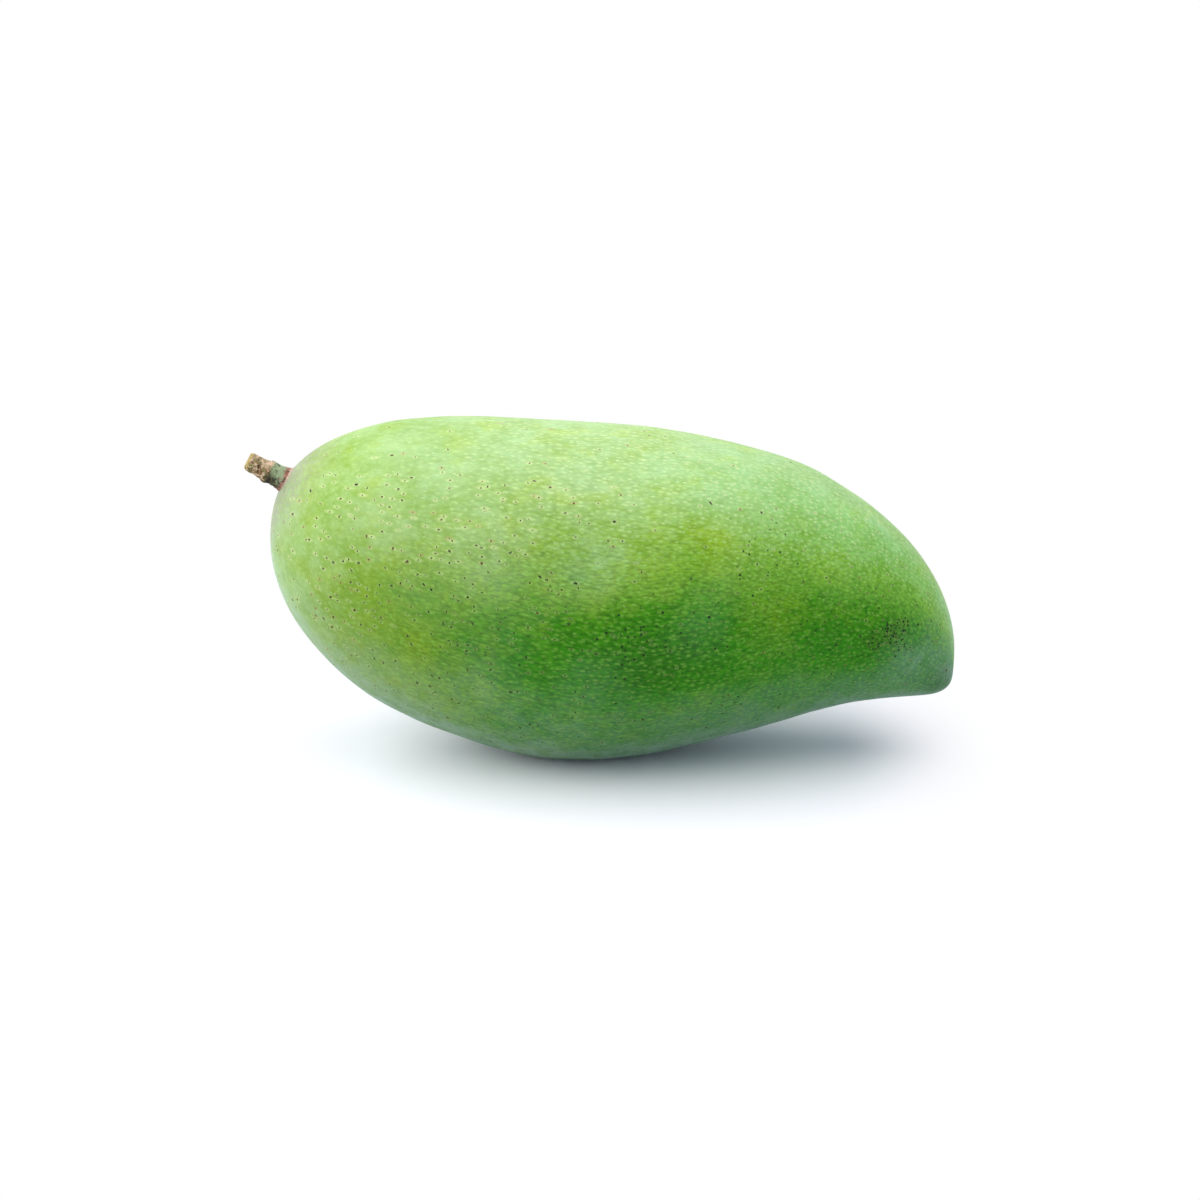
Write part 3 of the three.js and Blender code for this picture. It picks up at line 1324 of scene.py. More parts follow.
@dataclass(frozen=True)
class SkinGround:
    """The skin's greens, mixed by a depth that holds painted light and shade as well as its own
    tone, with mottling, stains, a fine weave and bloom.
    """

    pale_green: Colour = (0.560, 0.82, 0.355)
    middle_green: Colour = (0.285, 0.495, 0.055)
    deep_green: Colour = (0.044, 0.27, 0.002)
    darkest_green: Colour = (0.016, 0.13, 0.001)
    yellow_stain: Colour = (1.08, 0.98, 0.30)
    blue_stain: Colour = (0.84, 0.97, 1.35)
    fresh_stain: Colour = (0.78, 1.07, 0.85)
    bloom: Colour = (0.72, 0.93, 0.90)

    clouds: Noise = Noise(7.0 * MM, detail=3.0, harshness=0.6)
    cloud_depth: Rise = Rise(0.25, 0.75, -0.07, 0.07)
    fine: Noise = Noise(2.0 * MM, detail=2.0, harshness=0.6, stretch=(0.5, 1.0, 1.0))
    fine_depth: Rise = Rise(0.25, 0.75, -0.08, 0.08)
    middle_depth: float = 0.5
    middle_to_deep: Rise = Rise(0.5, 1.0, slope=Slope.STRAIGHT)
    deep_to_darkest: Rise = Rise(1.0, 1.6, slope=Slope.STRAIGHT)
    mottle: Noise = Noise(6.5 * MM, detail=4.0, harshness=0.6, stretch=(0.7, 1.0, 1.0))
    warm_mottle: Rise = Rise(0.49, 0.68, 0.0, 0.40)
    cool_mottle: Rise = Rise(0.32, 0.51, 0.18, 0.0)
    streaks: Noise = Noise(0.5 * MM, detail=4.0, harshness=0.7, stretch=(0.3, 1.0, 1.0))
    streak_shade: Rise = Rise(0.32, 0.68, 0.64, 1.38)
    weave_reach: Rise = Rise(-0.05, 0.80, slope=Slope.STRAIGHT)
    wiping: Noise = Noise(4.0 * MM, detail=4.0, harshness=0.65)
    wiped: Rise = Rise(0.3, 0.7, 0.6, 1.4)

    def greens(self, make: Recipe, depth: Socket, grain: Socket) -> Socket:
        """Mixes the four greens by their depth, which noise makes uneven.

        Args:
            make: the recipe that the nodes go into.
            depth: depth of green.
            grain: the place measured along the fruit's meridians.

        Returns:
            The green.
        """
        clouds = make.noise(make.place(), self.clouds)
        fine = make.noise(grain, self.fine)
        shade = make.plus(depth, make.rise(clouds, self.cloud_depth))
        shade = make.plus(shade, make.rise(fine, self.fine_depth))
        share = make.times(shade, 1.0 / self.middle_depth)
        green = make.lay(share, self.pale_green, self.middle_green)
        green = make.lay(make.rise(shade, self.middle_to_deep), green, self.deep_green)
        return make.lay(make.rise(shade, self.deep_to_darkest), green, self.darkest_green)

    def stained(self, make: Recipe, green: Socket, yellow: Socket, fresh: Socket,
                grain: Socket) -> Socket:
        """Stains the green yellower or bluer, by mottling and by its yellowness.

        Args:
            make: the recipe that the nodes go into.
            green: the green.
            yellow: yellowness, which is blueness below 0.
            fresh: freshness.
            grain: the place measured along the fruit's meridians.

        Returns:
            The stained green.
        """
        mottle = make.noise(grain, self.mottle)
        warm = make.rise(mottle, self.warm_mottle)
        cool = make.rise(mottle, self.cool_mottle)
        warm = make.plus(warm, make.sum(Sum.LARGEST, yellow, 0.0))
        cool = make.plus(cool, make.sum(Sum.LARGEST, make.times(yellow, -1.0), 0.0))
        green = make.lay(warm, green, self.yellow_stain, Blend.STAIN)
        green = make.lay(cool, green, self.blue_stain, Blend.STAIN)
        return make.lay(fresh, green, self.fresh_stain, Blend.STAIN)

    def draw(self, make: Recipe, tone: tuple[Socket, Socket],
             stain: tuple[Socket, Socket, Socket]) -> Socket:
        """Mixes the colour of the skin without its pores.

        Args:
            make: the recipe that the nodes go into.
            tone: depth of green and cover of bloom.
            stain: yellowness, strength of weave, and freshness.

        Returns:
            The colour.
        """
        depth, bloom = tone
        yellow, weave, fresh = stain
        grain = make.attribute("grain")
        green = self.greens(make, depth, grain)
        green = self.stained(make, green, yellow, fresh, grain)
        streaks = make.rise(make.noise(grain, self.streaks), self.streak_shade)
        reach = make.times(weave, make.rise(depth, self.weave_reach))
        green = make.lay(reach, green, streaks, Blend.STAIN)
        wiping = make.rise(make.noise(make.place(), self.wiping), self.wiped)
        return make.lay(make.times(bloom, wiping), green, self.bloom)


@dataclass(frozen=True)
class SkinFinish:
    """Waxy green rind: pale pores, dark specks, pepper and scurf on its ground."""

    ground: SkinGround = SkinGround()
    pores: PoreShape = PoreShape()
    pepper: Pepper = Pepper()

    pore: Colour = (0.36, 0.74, 0.11)
    hazy_pore: Colour = (0.46, 0.78, 0.46)
    pale_pore: Colour = (0.84, 1.0, 0.50)
    halo: Colour = (0.80, 0.88, 0.40)
    rust: Colour = (0.62, 0.36, 0.16)
    speck: Colour = (0.014, 0.026, 0.008)
    speck_brown: Colour = (0.12, 0.05, 0.014)
    scab: Colour = (0.16, 0.13, 0.025)
    scurf: Colour = (0.41, 0.34, 0.36)

    halo_by_depth: Rise = Rise(0.25, 0.75, 0.66, 0.14)
    between_spacing: float = 0.85 * MM
    between_stretch: Triple = (0.62, 1.0, 1.0)
    between_edge: Rise = Rise(0.15, 0.52, 1.0, 0.0)
    between_by_depth: Rise = Rise(0.1, 0.6, 0.12, 0.46)
    dot_strength: float = 0.72
    dot_gain_when_fresh: float = 0.12
    dot_deepening: Rise = Rise(0.1, 0.65, slope=Slope.STRAIGHT)
    dot_haze: Rise = Rise(0.08, 0.40)
    dot_by_bloom: Rise = Rise(0.15, 0.45, 1.0, 0.65)
    dot_by_yellow: Rise = Rise(-0.8, -0.1, 0.45, 1.0)
    dot_by_depth: Rise = Rise(0.45, 0.95, 1.0, 0.60)
    scab_by_pepper: Rise = Rise(0.3, 0.9, 0.0, 0.12)
    flakes: Noise = Noise(0.9 * MM, detail=3.0, harshness=0.7)
    flaking: Rise = Rise(0.40, 0.62, 0.30, 0.72)

    roughness: float = 0.55
    bloom_roughness: float = 0.2
    speck_roughness: float = 0.2
    refraction: float = 1.45
    specular_level: float = 0.22
    peel: Noise = Noise(0.8 * MM, detail=3.0, harshness=0.55)
    peel_depth: float = 0.03 * MM
    pore_depth: float = 0.05 * MM
    speck_hollow: float = 1.4

    def dots(self, make: Recipe, pores: list[DrawnPore], depth: Socket, bloom: Socket,
             yellow: Socket, fresh: Socket) -> Socket:
        """Works out where pale dots cover the skin: the pores, and faint ones between.

        Args:
            make: the recipe that the nodes go into.
            pores: the two nearest pores.
            depth: depth of green.
            bloom: cover of bloom.
            yellow: yellowness.
            fresh: freshness.

        Returns:
            The cover, from 0 to 1.
        """
        grain = make.stretched(make.attribute("grain"), self.between_stretch)
        far, chance, _ = make.cells(grain, self.between_spacing)
        between = make.times(make.rise(far, self.between_edge), chance)
        between = make.times(between, make.rise(depth, self.between_by_depth))
        dots = make.sum(Sum.LARGEST, pores[0].dot, pores[1].dot)
        strength = make.plus(self.dot_strength, make.times(fresh, self.dot_gain_when_fresh))
        dots = make.sum(Sum.LARGEST, make.times(dots, strength), between)
        dots = make.times(dots, make.rise(bloom, self.dot_by_bloom))
        dots = make.times(dots, make.rise(yellow, self.dot_by_yellow))
        return make.times(dots, make.rise(depth, self.dot_by_depth))

    def dot_colour(self, make: Recipe, depth: Socket, bloom: Socket,
                   yellow: Socket) -> Socket:
        """Mixes the colour of the dots.

        Args:
            make: the recipe that the nodes go into.
            depth: depth of green.
            bloom: cover of bloom.
            yellow: yellowness.

        Returns:
            The colour: paler on pale skin, and hazy in bloom or on bluish skin.
        """
        hazy = make.sum(Sum.LARGEST, make.rise(bloom, self.dot_haze), make.times(yellow, -1.0))
        colour = make.lay(make.rise(depth, self.dot_deepening), self.pale_pore, self.pore)
        return make.lay(hazy, colour, self.hazy_pore)

    def marked(self, make: Recipe, colour: Socket, pores: list[DrawnPore],
               scurf: Socket) -> Socket:
        """Lays the dark specks, the pepper and the scurf over the skin.

        Args:
            make: the recipe that the nodes go into.
            colour: the colour of the skin with its dots.
            pores: the two nearest pores.
            scurf: cover of scurf.

        Returns:
            The colour with its marks.
        """
        for pore in pores:
            speck = make.lay(pore.brown, self.speck, self.speck_brown)
            colour = make.lay(pore.speck, colour, speck)
        share, _, _ = make.parts(make.attribute("pepper"))
        colour = make.lay(make.rise(share, self.scab_by_pepper), colour, self.scab)
        colour = make.lay(self.pepper.draw(make, share), colour, self.speck)
        flakes = make.rise(make.noise(make.place(), self.flakes), self.flaking)
        return make.lay(make.times(scurf, flakes), colour, self.scurf)

    def texture(self, make: Recipe, surface: bpy.types.Node, bloom: Socket,
                dots: Socket, specks: Socket) -> None:
        """Sets the skin's gloss and its finest relief.

        Args:
            make: the recipe that the nodes go into.
            surface: the shader.
            bloom: cover of bloom.
            dots: cover of pale dots, which stand a little proud.
            specks: cover of dark specks, which lie a little deep.
        """
        gloss = make.plus(self.roughness, make.times(bloom, self.bloom_roughness))
        gloss = make.plus(gloss, make.times(specks, self.speck_roughness))
        make.feed(surface.inputs["Roughness"], gloss)
        surface.inputs["IOR"].default_value = self.refraction
        surface.inputs["Specular IOR Level"].default_value = self.specular_level
        normal = make.bump(make.noise(make.place(), self.peel), self.peel_depth)
        pimple = make.sum(Sum.SUBTRACT, dots, make.times(specks, self.speck_hollow))
        make.feed(surface.inputs["Normal"], make.bump(pimple, self.pore_depth, normal))

    def material(self) -> bpy.types.Material:
        """Builds the finish.

        Returns:
            The material of the skin.
        """
        made, make = new_material("mango_skin_finish")
        depth, bloom, scurf = make.parts(make.attribute("tone"))
        yellow, weave, fresh = make.parts(make.attribute("stain"))
        pores = [self.pores.draw(make, name, fresh) for name in PORE_NAMES]
        colour = self.ground.draw(make, (depth, bloom), (yellow, weave, fresh))
        faint = make.rise(depth, self.halo_by_depth)
        for pore in pores:
            ring = make.lay(pore.rust, self.halo, self.rust)
            colour = make.lay(make.times(pore.halo, faint), colour, ring)
        dots = self.dots(make, pores, depth, bloom, yellow, fresh)
        colour = make.lay(dots, colour, self.dot_colour(make, depth, bloom, yellow))
        surface = make.surface()
        make.feed(surface.inputs["Base Color"], self.marked(make, colour, pores, scurf))
        specks = make.sum(Sum.LARGEST, pores[0].speck, pores[1].speck)
        self.texture(make, surface, bloom, dots, specks)
        return made


@dataclass
class Fruit:
    """The whole fruit: its form set in the frame, its pores, tone and finish."""

    form: MangoForm = field(default_factory=MangoForm)
    pores: PoreField = field(default_factory=PoreField)
    tone: SkinTone = field(default_factory=SkinTone)
    finish: SkinFinish = field(default_factory=SkinFinish)
    seat_turn: float = math.radians(9.0)
    rings: int = 330
    sides: int = 288
    rough_rings: int = 200
    rough_sides: int = 96
    shift: np.ndarray = field(init=False)
    ground: float = field(init=False)

    def __post_init__(self) -> None:
        """Finds how far the form moves to lie in the frame's box of the fruit."""
        low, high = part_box("fruit")
        rough = self.form.plain(*self.parameters(self.rough_rings, self.rough_sides))
        top = high.z - rough[..., 2].max()
        self.shift = np.array([high.x - rough[..., 0].max(), (low.y + high.y) / 2.0, top])
        self.ground = low.z

    @staticmethod
    def parameters(rings: int, sides: int) -> tuple[np.ndarray, np.ndarray]:
        """Spaces the rings between the poles, and the sides round each ring.

        Args:
            rings: the number of rings.
            sides: the number of points in a ring.

        Returns:
            The place along the fruit and the angle, of each point.
        """
        along = np.arange(1, rings + 1) / (rings + 1)
        round_ = 2.0 * math.pi * np.arange(sides) / sides
        return np.meshgrid(along, round_, indexing="ij")

    def seat(self) -> np.ndarray:
        """The point of the back where the stem meets the skin."""
        along = np.array(self.seat_turn / math.pi)
        return self.form.plain(along, np.array(0.0)) + self.shift

    def grid(self) -> ClosedGrid:
        """Works out the skin as a closed grid in the row frame.

        Returns:
            The grid, pressed flat where it rests.
        """
        rings = self.form.skin(*self.parameters(self.rings, self.sides)) + self.shift
        poles = self.form.skin(np.array([0.0, 1.0]), np.array([0.0, 0.0])) + self.shift
        rings = self.form.pressed(rings, self.ground)
        return ClosedGrid(rings, poles[0], poles[1])

    def mark_grain(self, mesh: bpy.types.Mesh, grid: ClosedGrid) -> None:
        """Stores a place whose first number runs along the fruit's meridians.

        It is the distance along the meridian, and the section's mean radius
        times the cosine and the sine of the angle.

        Args:
            mesh: the fruit's mesh.
            grid: the grid that it was made from.
        """
        _, round_ = self.parameters(self.rings, self.sides)
        middle = grid.rings.mean(1, keepdims=True)
        radius = np.linalg.norm(grid.rings - middle, axis=-1).mean(1, keepdims=True)
        steps = np.linalg.norm(np.diff(grid.rings, axis=0), axis=-1)
        run = np.concatenate([np.zeros((1, self.sides)), np.cumsum(steps, 0)])
        values = np.stack([run, radius * np.cos(round_), radius * np.sin(round_)], -1)
        store(mesh, "grain", Domain.POINT, grid.spread(values))

    def mark_tone(self, mesh: bpy.types.Mesh, grid: ClosedGrid) -> None:
        """Stores the shares of the skin's tone at each vertex, in two attributes.
        Its depth of green holds painted light and shade as well.

        Args:
            mesh: the fruit's mesh.
            grid: the grid that it was made from.
        """
        along, round_ = self.parameters(self.rings, self.sides)
        tone, stain = self.tone.at(self.form, grid.rings, along, round_, self.seat())
        store(mesh, "tone", Domain.POINT, grid.spread(tone))
        store(mesh, "stain", Domain.POINT, grid.spread(stain))

    def mark_pores(self, mesh: bpy.types.Mesh, grid: ClosedGrid) -> None:
        """Stores for each face corner its offset from the face's two nearest pores.

        An offset is in millimetres, along the fruit and around it, with a random
        number that stays the same over one pore. Only the four-sided faces can
        hold a pore. The small fans at the poles get a distance beyond any pore.

        Args:
            mesh: the fruit's mesh.
            grid: the grid that it was made from.
        """
        along, round_ = self.parameters(self.rings, self.sides)
        half_ring, half_side = 0.5 / (self.rings + 1), math.pi / self.sides
        middle = (along[:-1] + half_ring).ravel(), (round_[:-1] + half_side).ravel()
        pores, *nearest = self.pores.lay_out(self.form, *middle)
        flat = self.form.plain(along, round_).reshape(-1, 3)
        corners = flat[grid.quads() - 1]
        bare = np.zeros((len(grid.fans()) * 3, 3))
        beyond, plain_look = 9.0, (0.0, 0.0, 1.0)
        for name, number in zip(PORE_NAMES, nearest):
            offset = pores.offsets(number, corners).reshape(-1, 3)
            look = np.repeat(pores.look[number], 4, axis=0)
            store(mesh, name, Domain.CORNER, np.concatenate([offset, bare + beyond]))
            store(mesh, name + "_look", Domain.CORNER,
                  np.concatenate([look, bare + plain_look]))

    def mark_pepper(self, mesh: bpy.types.Mesh, grid: ClosedGrid) -> None:
        """Stores the share of the fine specks that show at each vertex."""
        share = self.finish.pepper.at(self.form, *self.parameters(self.rings, self.sides))
        store(mesh, "pepper", Domain.POINT, grid.spread(share))

    def build(self) -> bpy.types.Object:
        """Makes the fruit's piece, in place and dressed.

        Returns:
            The piece.
        """
        grid = self.grid()
        mesh = grid.mesh("mango_fruit")
        self.mark_grain(mesh, grid)
        self.mark_tone(mesh, grid)
        self.mark_pores(mesh, grid)
        self.mark_pepper(mesh, grid)
        piece = add_piece(mesh, self.finish.material())
        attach(piece, ROOT)
        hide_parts("fruit")
        return piece


# ---------------------------------------------------------------- the stem

@dataclass(frozen=True)
class BarkFinish:
    """Dry olive-brown bark, a grey-green neck, a red-brown collar, pale cut wood, painted
    lighter on the upper side and darker below.
    """

    olive: Colour = (0.34, 0.25, 0.09)
    moss: Colour = (0.33, 0.36, 0.12)
    # Tan of peeled bark, also laid on the upper side as a painted highlight.
    tan: Colour = (0.88, 0.62, 0.42)
    rust: Colour = (0.36, 0.15, 0.08)
    umber: Colour = (0.035, 0.022, 0.012)
    # The neck's colour on its upper side, painted lit; below, it turns to a colour of painted
    # shade.
    neck: Colour = (0.44, 0.54, 0.31)
    neck_painted_shade: Colour = (0.17, 0.16, 0.085)
    neck_dark: Colour = (0.045, 0.045, 0.025)
    collar: Colour = (0.33, 0.13, 0.09)
    collar_fleck: Colour = (0.72, 0.48, 0.36)
    lip: Colour = (0.80, 0.60, 0.46)
    wood: Colour = (0.60, 0.46, 0.16)
    pith: Colour = (0.40, 0.27, 0.10)

    coarse: Noise = Noise(1.3 * MM, detail=4.0, harshness=0.65)
    fine: Noise = Noise(0.42 * MM, detail=3.0, harshness=0.7)
    scales: Noise = Noise(1.5 * MM, detail=3.0, harshness=0.6)
    peeling: Noise = Noise(1.25 * MM, detail=3.0, harshness=0.65, stretch=(1.0, 1.3, 1.0))
    pits: Noise = Noise(0.8 * MM, detail=3.0, harshness=0.7)

    # These rises read noise.
    mossy: Rise = Rise(0.40, 0.60)
    rusty: Rise = Rise(0.51, 0.57, 0.0, 0.8)
    peeled: Rise = Rise(0.505, 0.56, 0.0, 0.95)
    bark_worn: Rise = Rise(0.56, 0.66, 0.0, 0.6)
    crack_in: Rise = Rise(0.465, 0.49)
    crack_out: Rise = Rise(0.49, 0.515, 1.0, 0.0)
    pitted: Rise = Rise(0.56, 0.62)
    neck_spotted: Rise = Rise(0.50, 0.60, 0.0, 0.85)
    node_dark: Rise = Rise(0.40, 0.56, 0.0, 0.9)
    collar_flecked: Rise = Rise(0.50, 0.60)
    collar_stained: Rise = Rise(0.50, 0.62, 0.0, 0.9)
    cut_rusty: Rise = Rise(0.42, 0.66, 0.0, 0.8)
    side_wander: Rise = Rise(0.3, 0.7, -0.5, 0.5)
    reach_wander: Rise = Rise(0.2, 0.8, -0.8, 0.8)
    crack_darkness: float = 0.9

    # These read how far up the side faces, from -1 to 1, to paint light on the upper side and
    # shade on the lower side.
    # Painted shade: dark spots and the knuckle's dark marks grow thicker on the lower side.
    painted_shade_by_side: Rise = Rise(-0.7, 0.6, 0.10, -0.08)
    neck_painted_light: Rise = Rise(-0.6, 0.5)
    # Painted highlight: tan laid on the bark's upper side.
    painted_highlight_above: Rise = Rise(0.35, 1.0, 0.0, 0.45)

    # These read the distance from the skin in millimetres.
    lip_end: Rise = Rise(0.55, 0.85, 0.85, 0.0)
    collar_end: Rise = Rise(1.3, 2.0, 1.0, 0.0)
    node_in: Rise = Rise(3.1, 3.8)
    neck_to_bark: Rise = Rise(3.9, 4.7)
    node_out: Rise = Rise(4.6, 5.4, 1.0, 0.0)
    edge_worn: Rise = Rise(10.0, 10.6, 0.0, 0.8)
    edge_wander: float = 2.4

    # This reads the share of the cut's radius.
    pith_end: Rise = Rise(0.15, 0.45)

    roughness: float = 0.82
    specular_level: float = 0.35
    coarse_depth: float = 0.30 * MM
    fine_depth: float = 0.14 * MM

    def bark(self, make: Recipe, place: Socket, fine: Socket) -> Socket:
        """Mixes the outer bark: olive and moss, tan and rust scales, dark cracks.

        Args:
            make: the recipe that the nodes go into.
            place: the place on the piece.
            fine: fine noise.

        Returns:
            The colour of the bark.
        """
        peeling = make.noise(place, self.peeling)
        colour = make.lay(make.rise(fine, self.mossy), self.olive, self.moss)
        scales = make.noise(place, self.scales)
        colour = make.lay(make.rise(scales, self.rusty), colour, self.rust)
        colour = make.lay(make.rise(peeling, self.peeled), colour, self.tan)
        colour = make.lay(make.rise(fine, self.bark_worn), colour, self.wood)
        crack = make.times(make.rise(peeling, self.crack_in), make.rise(peeling, self.crack_out))
        pits = make.rise(make.noise(place, self.pits), self.pitted)
        crack = make.sum(Sum.LARGEST, crack, pits)
        return make.lay(make.times(crack, self.crack_darkness), colour, self.umber)

    def side(self, make: Recipe, run: Socket, upper: Socket, coarse: Socket,
             fine: Socket) -> Socket:
        """Mixes the colour of the stem's side, from the collar's lip to the worn edge, with
        painted light on the upper side and painted shade below.

        Args:
            make: the recipe that the nodes go into.
            run: the distance from the skin.
            upper: how far up the side faces, from -1 to 1, which sets the painted light and
                shade.
            coarse: coarse noise.
            fine: fine noise.

        Returns:
            The colour.
        """
        # Painted shade: more dark spots on the neck and the knuckle below.
        shade = make.rise(upper, self.painted_shade_by_side)
        turn = make.plus(upper, make.rise(coarse, self.side_wander))
        # Painted light and shade: the neck turns from its lit colour above to a darker one
        # below.
        neck = make.lay(make.rise(turn, self.neck_painted_light), self.neck_painted_shade, self.neck)
        spots = make.rise(make.plus(fine, shade), self.neck_spotted)
        neck = make.lay(spots, neck, self.neck_dark)
        bark = self.bark(make, make.place(), fine)
        # Painted highlight: the bark's upper side turns tan.
        bark = make.lay(make.rise(turn, self.painted_highlight_above), bark, self.tan)
        collar = make.lay(make.rise(fine, self.collar_flecked), self.collar, self.collar_fleck)
        collar = make.lay(make.rise(coarse, self.collar_stained), collar, self.umber)

        reach = make.plus(run, make.rise(coarse, self.reach_wander))
        colour = make.lay(make.rise(reach, self.neck_to_bark), neck, bark)
        node = make.times(make.rise(reach, self.node_in), make.rise(reach, self.node_out))
        node = make.times(node, make.rise(make.plus(coarse, shade), self.node_dark))
        colour = make.lay(node, colour, self.umber)
        colour = make.lay(make.rise(reach, self.collar_end), colour, collar)
        colour = make.lay(make.rise(run, self.lip_end), colour, self.lip)
        edge = make.plus(run, make.times(fine, self.edge_wander))
        return make.lay(make.rise(edge, self.edge_worn), colour, self.wood)

    def material(self) -> bpy.types.Material:
        """Builds the finish, which reads the distance from the skin and the cut.

        Returns:
            The material of the stem.
        """
        made, make = new_material("stem_bark_finish")
        run, spread, cut = make.parts(make.attribute("twig"))
        upper, _, _ = make.parts(make.attribute("twig_side"))
        place = make.place()
        coarse, fine = make.noise(place, self.coarse), make.noise(place, self.fine)
        wood = make.lay(make.rise(spread, self.pith_end), self.pith, self.wood)
        wood = make.lay(make.rise(fine, self.cut_rusty), wood, self.rust)
        colour = make.lay(cut, self.side(make, run, upper, coarse, fine), wood)

        surface = make.surface()
        make.feed(surface.inputs["Base Color"], colour)
        surface.inputs["Roughness"].default_value = self.roughness
        surface.inputs["Specular IOR Level"].default_value = self.specular_level
        normal = make.bump(coarse, self.coarse_depth)
        make.feed(surface.inputs["Normal"], make.bump(fine, self.fine_depth, normal))
        return made


@dataclass
class Stem:
    """The short cut stem, from its foot in the skin to its fresh cut end.

    Distances run outwards along the axis from the skin.
    """

    seat: np.ndarray
    rise: float = math.radians(28.0)
    length: float = 9.6 * MM
    sunk: float = 2.6 * MM
    nudge: Triple = (0.75 * MM, 0.0, 0.35 * MM)
    collar_radius: float = 2.95 * MM
    collar_flare: float = 1.2 * MM
    neck_radius: float = 2.40 * MM
    knuckle_radius: float = 2.60 * MM
    knuckle_at: float = 4.4 * MM
    knuckle_width: float = 0.7 * MM
    taper: float = 1.6 * MM
    tip_radius: float = 2.12 * MM
    edge_length: float = 1.1 * MM
    edge_rounding: float = 0.62
    face_edge_share: float = 0.76
    face_middle_share: float = 0.02
    face_proud: float = 0.05 * MM
    face_dish: float = 0.22 * MM
    face_roughness: float = 0.4
    face_rings: int = 26
    rings: int = 190
    sides: int = 150
    coarse: Ripple = Ripple(wavelength=3.0 * MM, seed=31, depth=0.15 * MM)
    fine: Ripple = Ripple(wavelength=1.0 * MM, seed=32, waves=24, depth=0.07 * MM)
    scales: Ripple = Ripple(wavelength=1.7 * MM, seed=33, waves=20, depth=0.10 * MM)
    finish: BarkFinish = field(default_factory=BarkFinish)

    def radius(self, run: np.ndarray) -> np.ndarray:
        """Works out the stem's radius.

        It eases from the collar's radius to the neck's as half a bell, swells at
        the knuckle as a bell, and tapers to the tip beyond it.

        Args:
            run: distances from the skin.

        Returns:
            The radius at each distance.
        """
        flare = bell(np.maximum(run, 0.0), self.collar_flare)
        flare = (self.collar_radius - self.neck_radius) * flare
        swell = bell(run - self.knuckle_at, self.knuckle_width)
        past = smooth_step(self.knuckle_at, self.knuckle_at + self.taper, run)
        drop = past * (self.neck_radius - self.tip_radius)
        return self.neck_radius + flare - drop + swell * (self.knuckle_radius - self.neck_radius)

    def profile(self) -> tuple[np.ndarray, np.ndarray, np.ndarray]:
        """Works out the rings of the side, from the foot to the cut, and of the cut.

        The side's edge is rounded as an oval. The cut face closes over in rings
        of falling radius, slightly dished.

        Returns:
            The rings' distances, their share of the radius, and which are cut wood.
        """
        side_rings = self.rings - self.face_rings
        run = np.linspace(-self.sunk, self.length, side_rings)
        near = np.clip((run - self.length + self.edge_length) / self.edge_length, 0.0, 1.0)
        share = np.sqrt(1.0 - (self.edge_rounding * near) ** 2)
        inner = np.linspace(self.face_edge_share, self.face_middle_share, self.face_rings)
        dish = self.length + self.face_proud - self.face_dish * (1.0 - inner ** 2)
        cut = np.concatenate([np.zeros(side_rings), np.ones(self.face_rings)])
        return np.concatenate([run, dish]), np.concatenate([share, inner]), cut

    def roughness(self, points: np.ndarray) -> np.ndarray:
        """How far the bark stands out: coarse and fine ripples, less sunken scales."""
        coarse = self.coarse.depth * self.coarse.at(points)
        fine = self.fine.depth * self.fine.at(points)
        return coarse + fine - self.scales.depth * np.abs(self.scales.at(points))

    def grid(self) -> tuple[ClosedGrid, np.ndarray, np.ndarray]:
        """Works out the stem's surface, and what its finish reads.

        A ring is a circle of the profile's radius, roughened by ripples, round
        the axis, which leans back over the stem end at the rise above level. The
        angle runs backwards, so that the closed grid's faces point outwards.

        Returns:
            The closed grid, and for each ring point its distance from the skin
            in mm, its share of the radius, and whether it is cut wood; then how
            far up and aside it faces.
        """
        run, share, cut = self.profile()
        angle = -2.0 * math.pi * np.arange(self.sides) / self.sides
        axis = np.array([-math.cos(self.rise), 0.0, math.sin(self.rise)])
        up = np.array([math.sin(self.rise), 0.0, math.cos(self.rise)])
        aside = np.cross(axis, up)
        spoke = np.cos(angle)[:, None] * up + np.sin(angle)[:, None] * aside
        radius = self.radius(run) * share
        root = self.seat + np.array(self.nudge)
        points = root + run[:, None, None] * axis + radius[:, None, None] * spoke
        rough = self.roughness(points)[..., None] * share[:, None, None]
        on_face = self.face_roughness * rough * cut[:, None, None]
        points = points + rough * spoke + on_face * axis
        marks = np.stack([run / MM, share, cut], -1)
        marks = np.repeat(marks[:, None], self.sides, axis=1)
        sides = np.stack([np.cos(angle), np.sin(angle), 0.0 * angle], -1)
        sides = np.repeat(sides[None], len(run), axis=0)
        foot = root - self.sunk * axis
        end = points[-1].mean(0)
        return ClosedGrid(points, foot, end), marks, sides

    def build(self) -> bpy.types.Object:
        """Makes the stem's piece, in place and dressed.

        Returns:
            The piece.
        """
        grid, marks, sides = self.grid()
        mesh = grid.mesh("mango_stem")
        store(mesh, "twig", Domain.POINT, grid.spread(marks))
        store(mesh, "twig_side", Domain.POINT, grid.spread(sides))
        piece = add_piece(mesh, self.finish.material())
        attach(piece, ROOT)
        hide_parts("stem")
        return piece


# ---------------------------------------------------------------- the studio

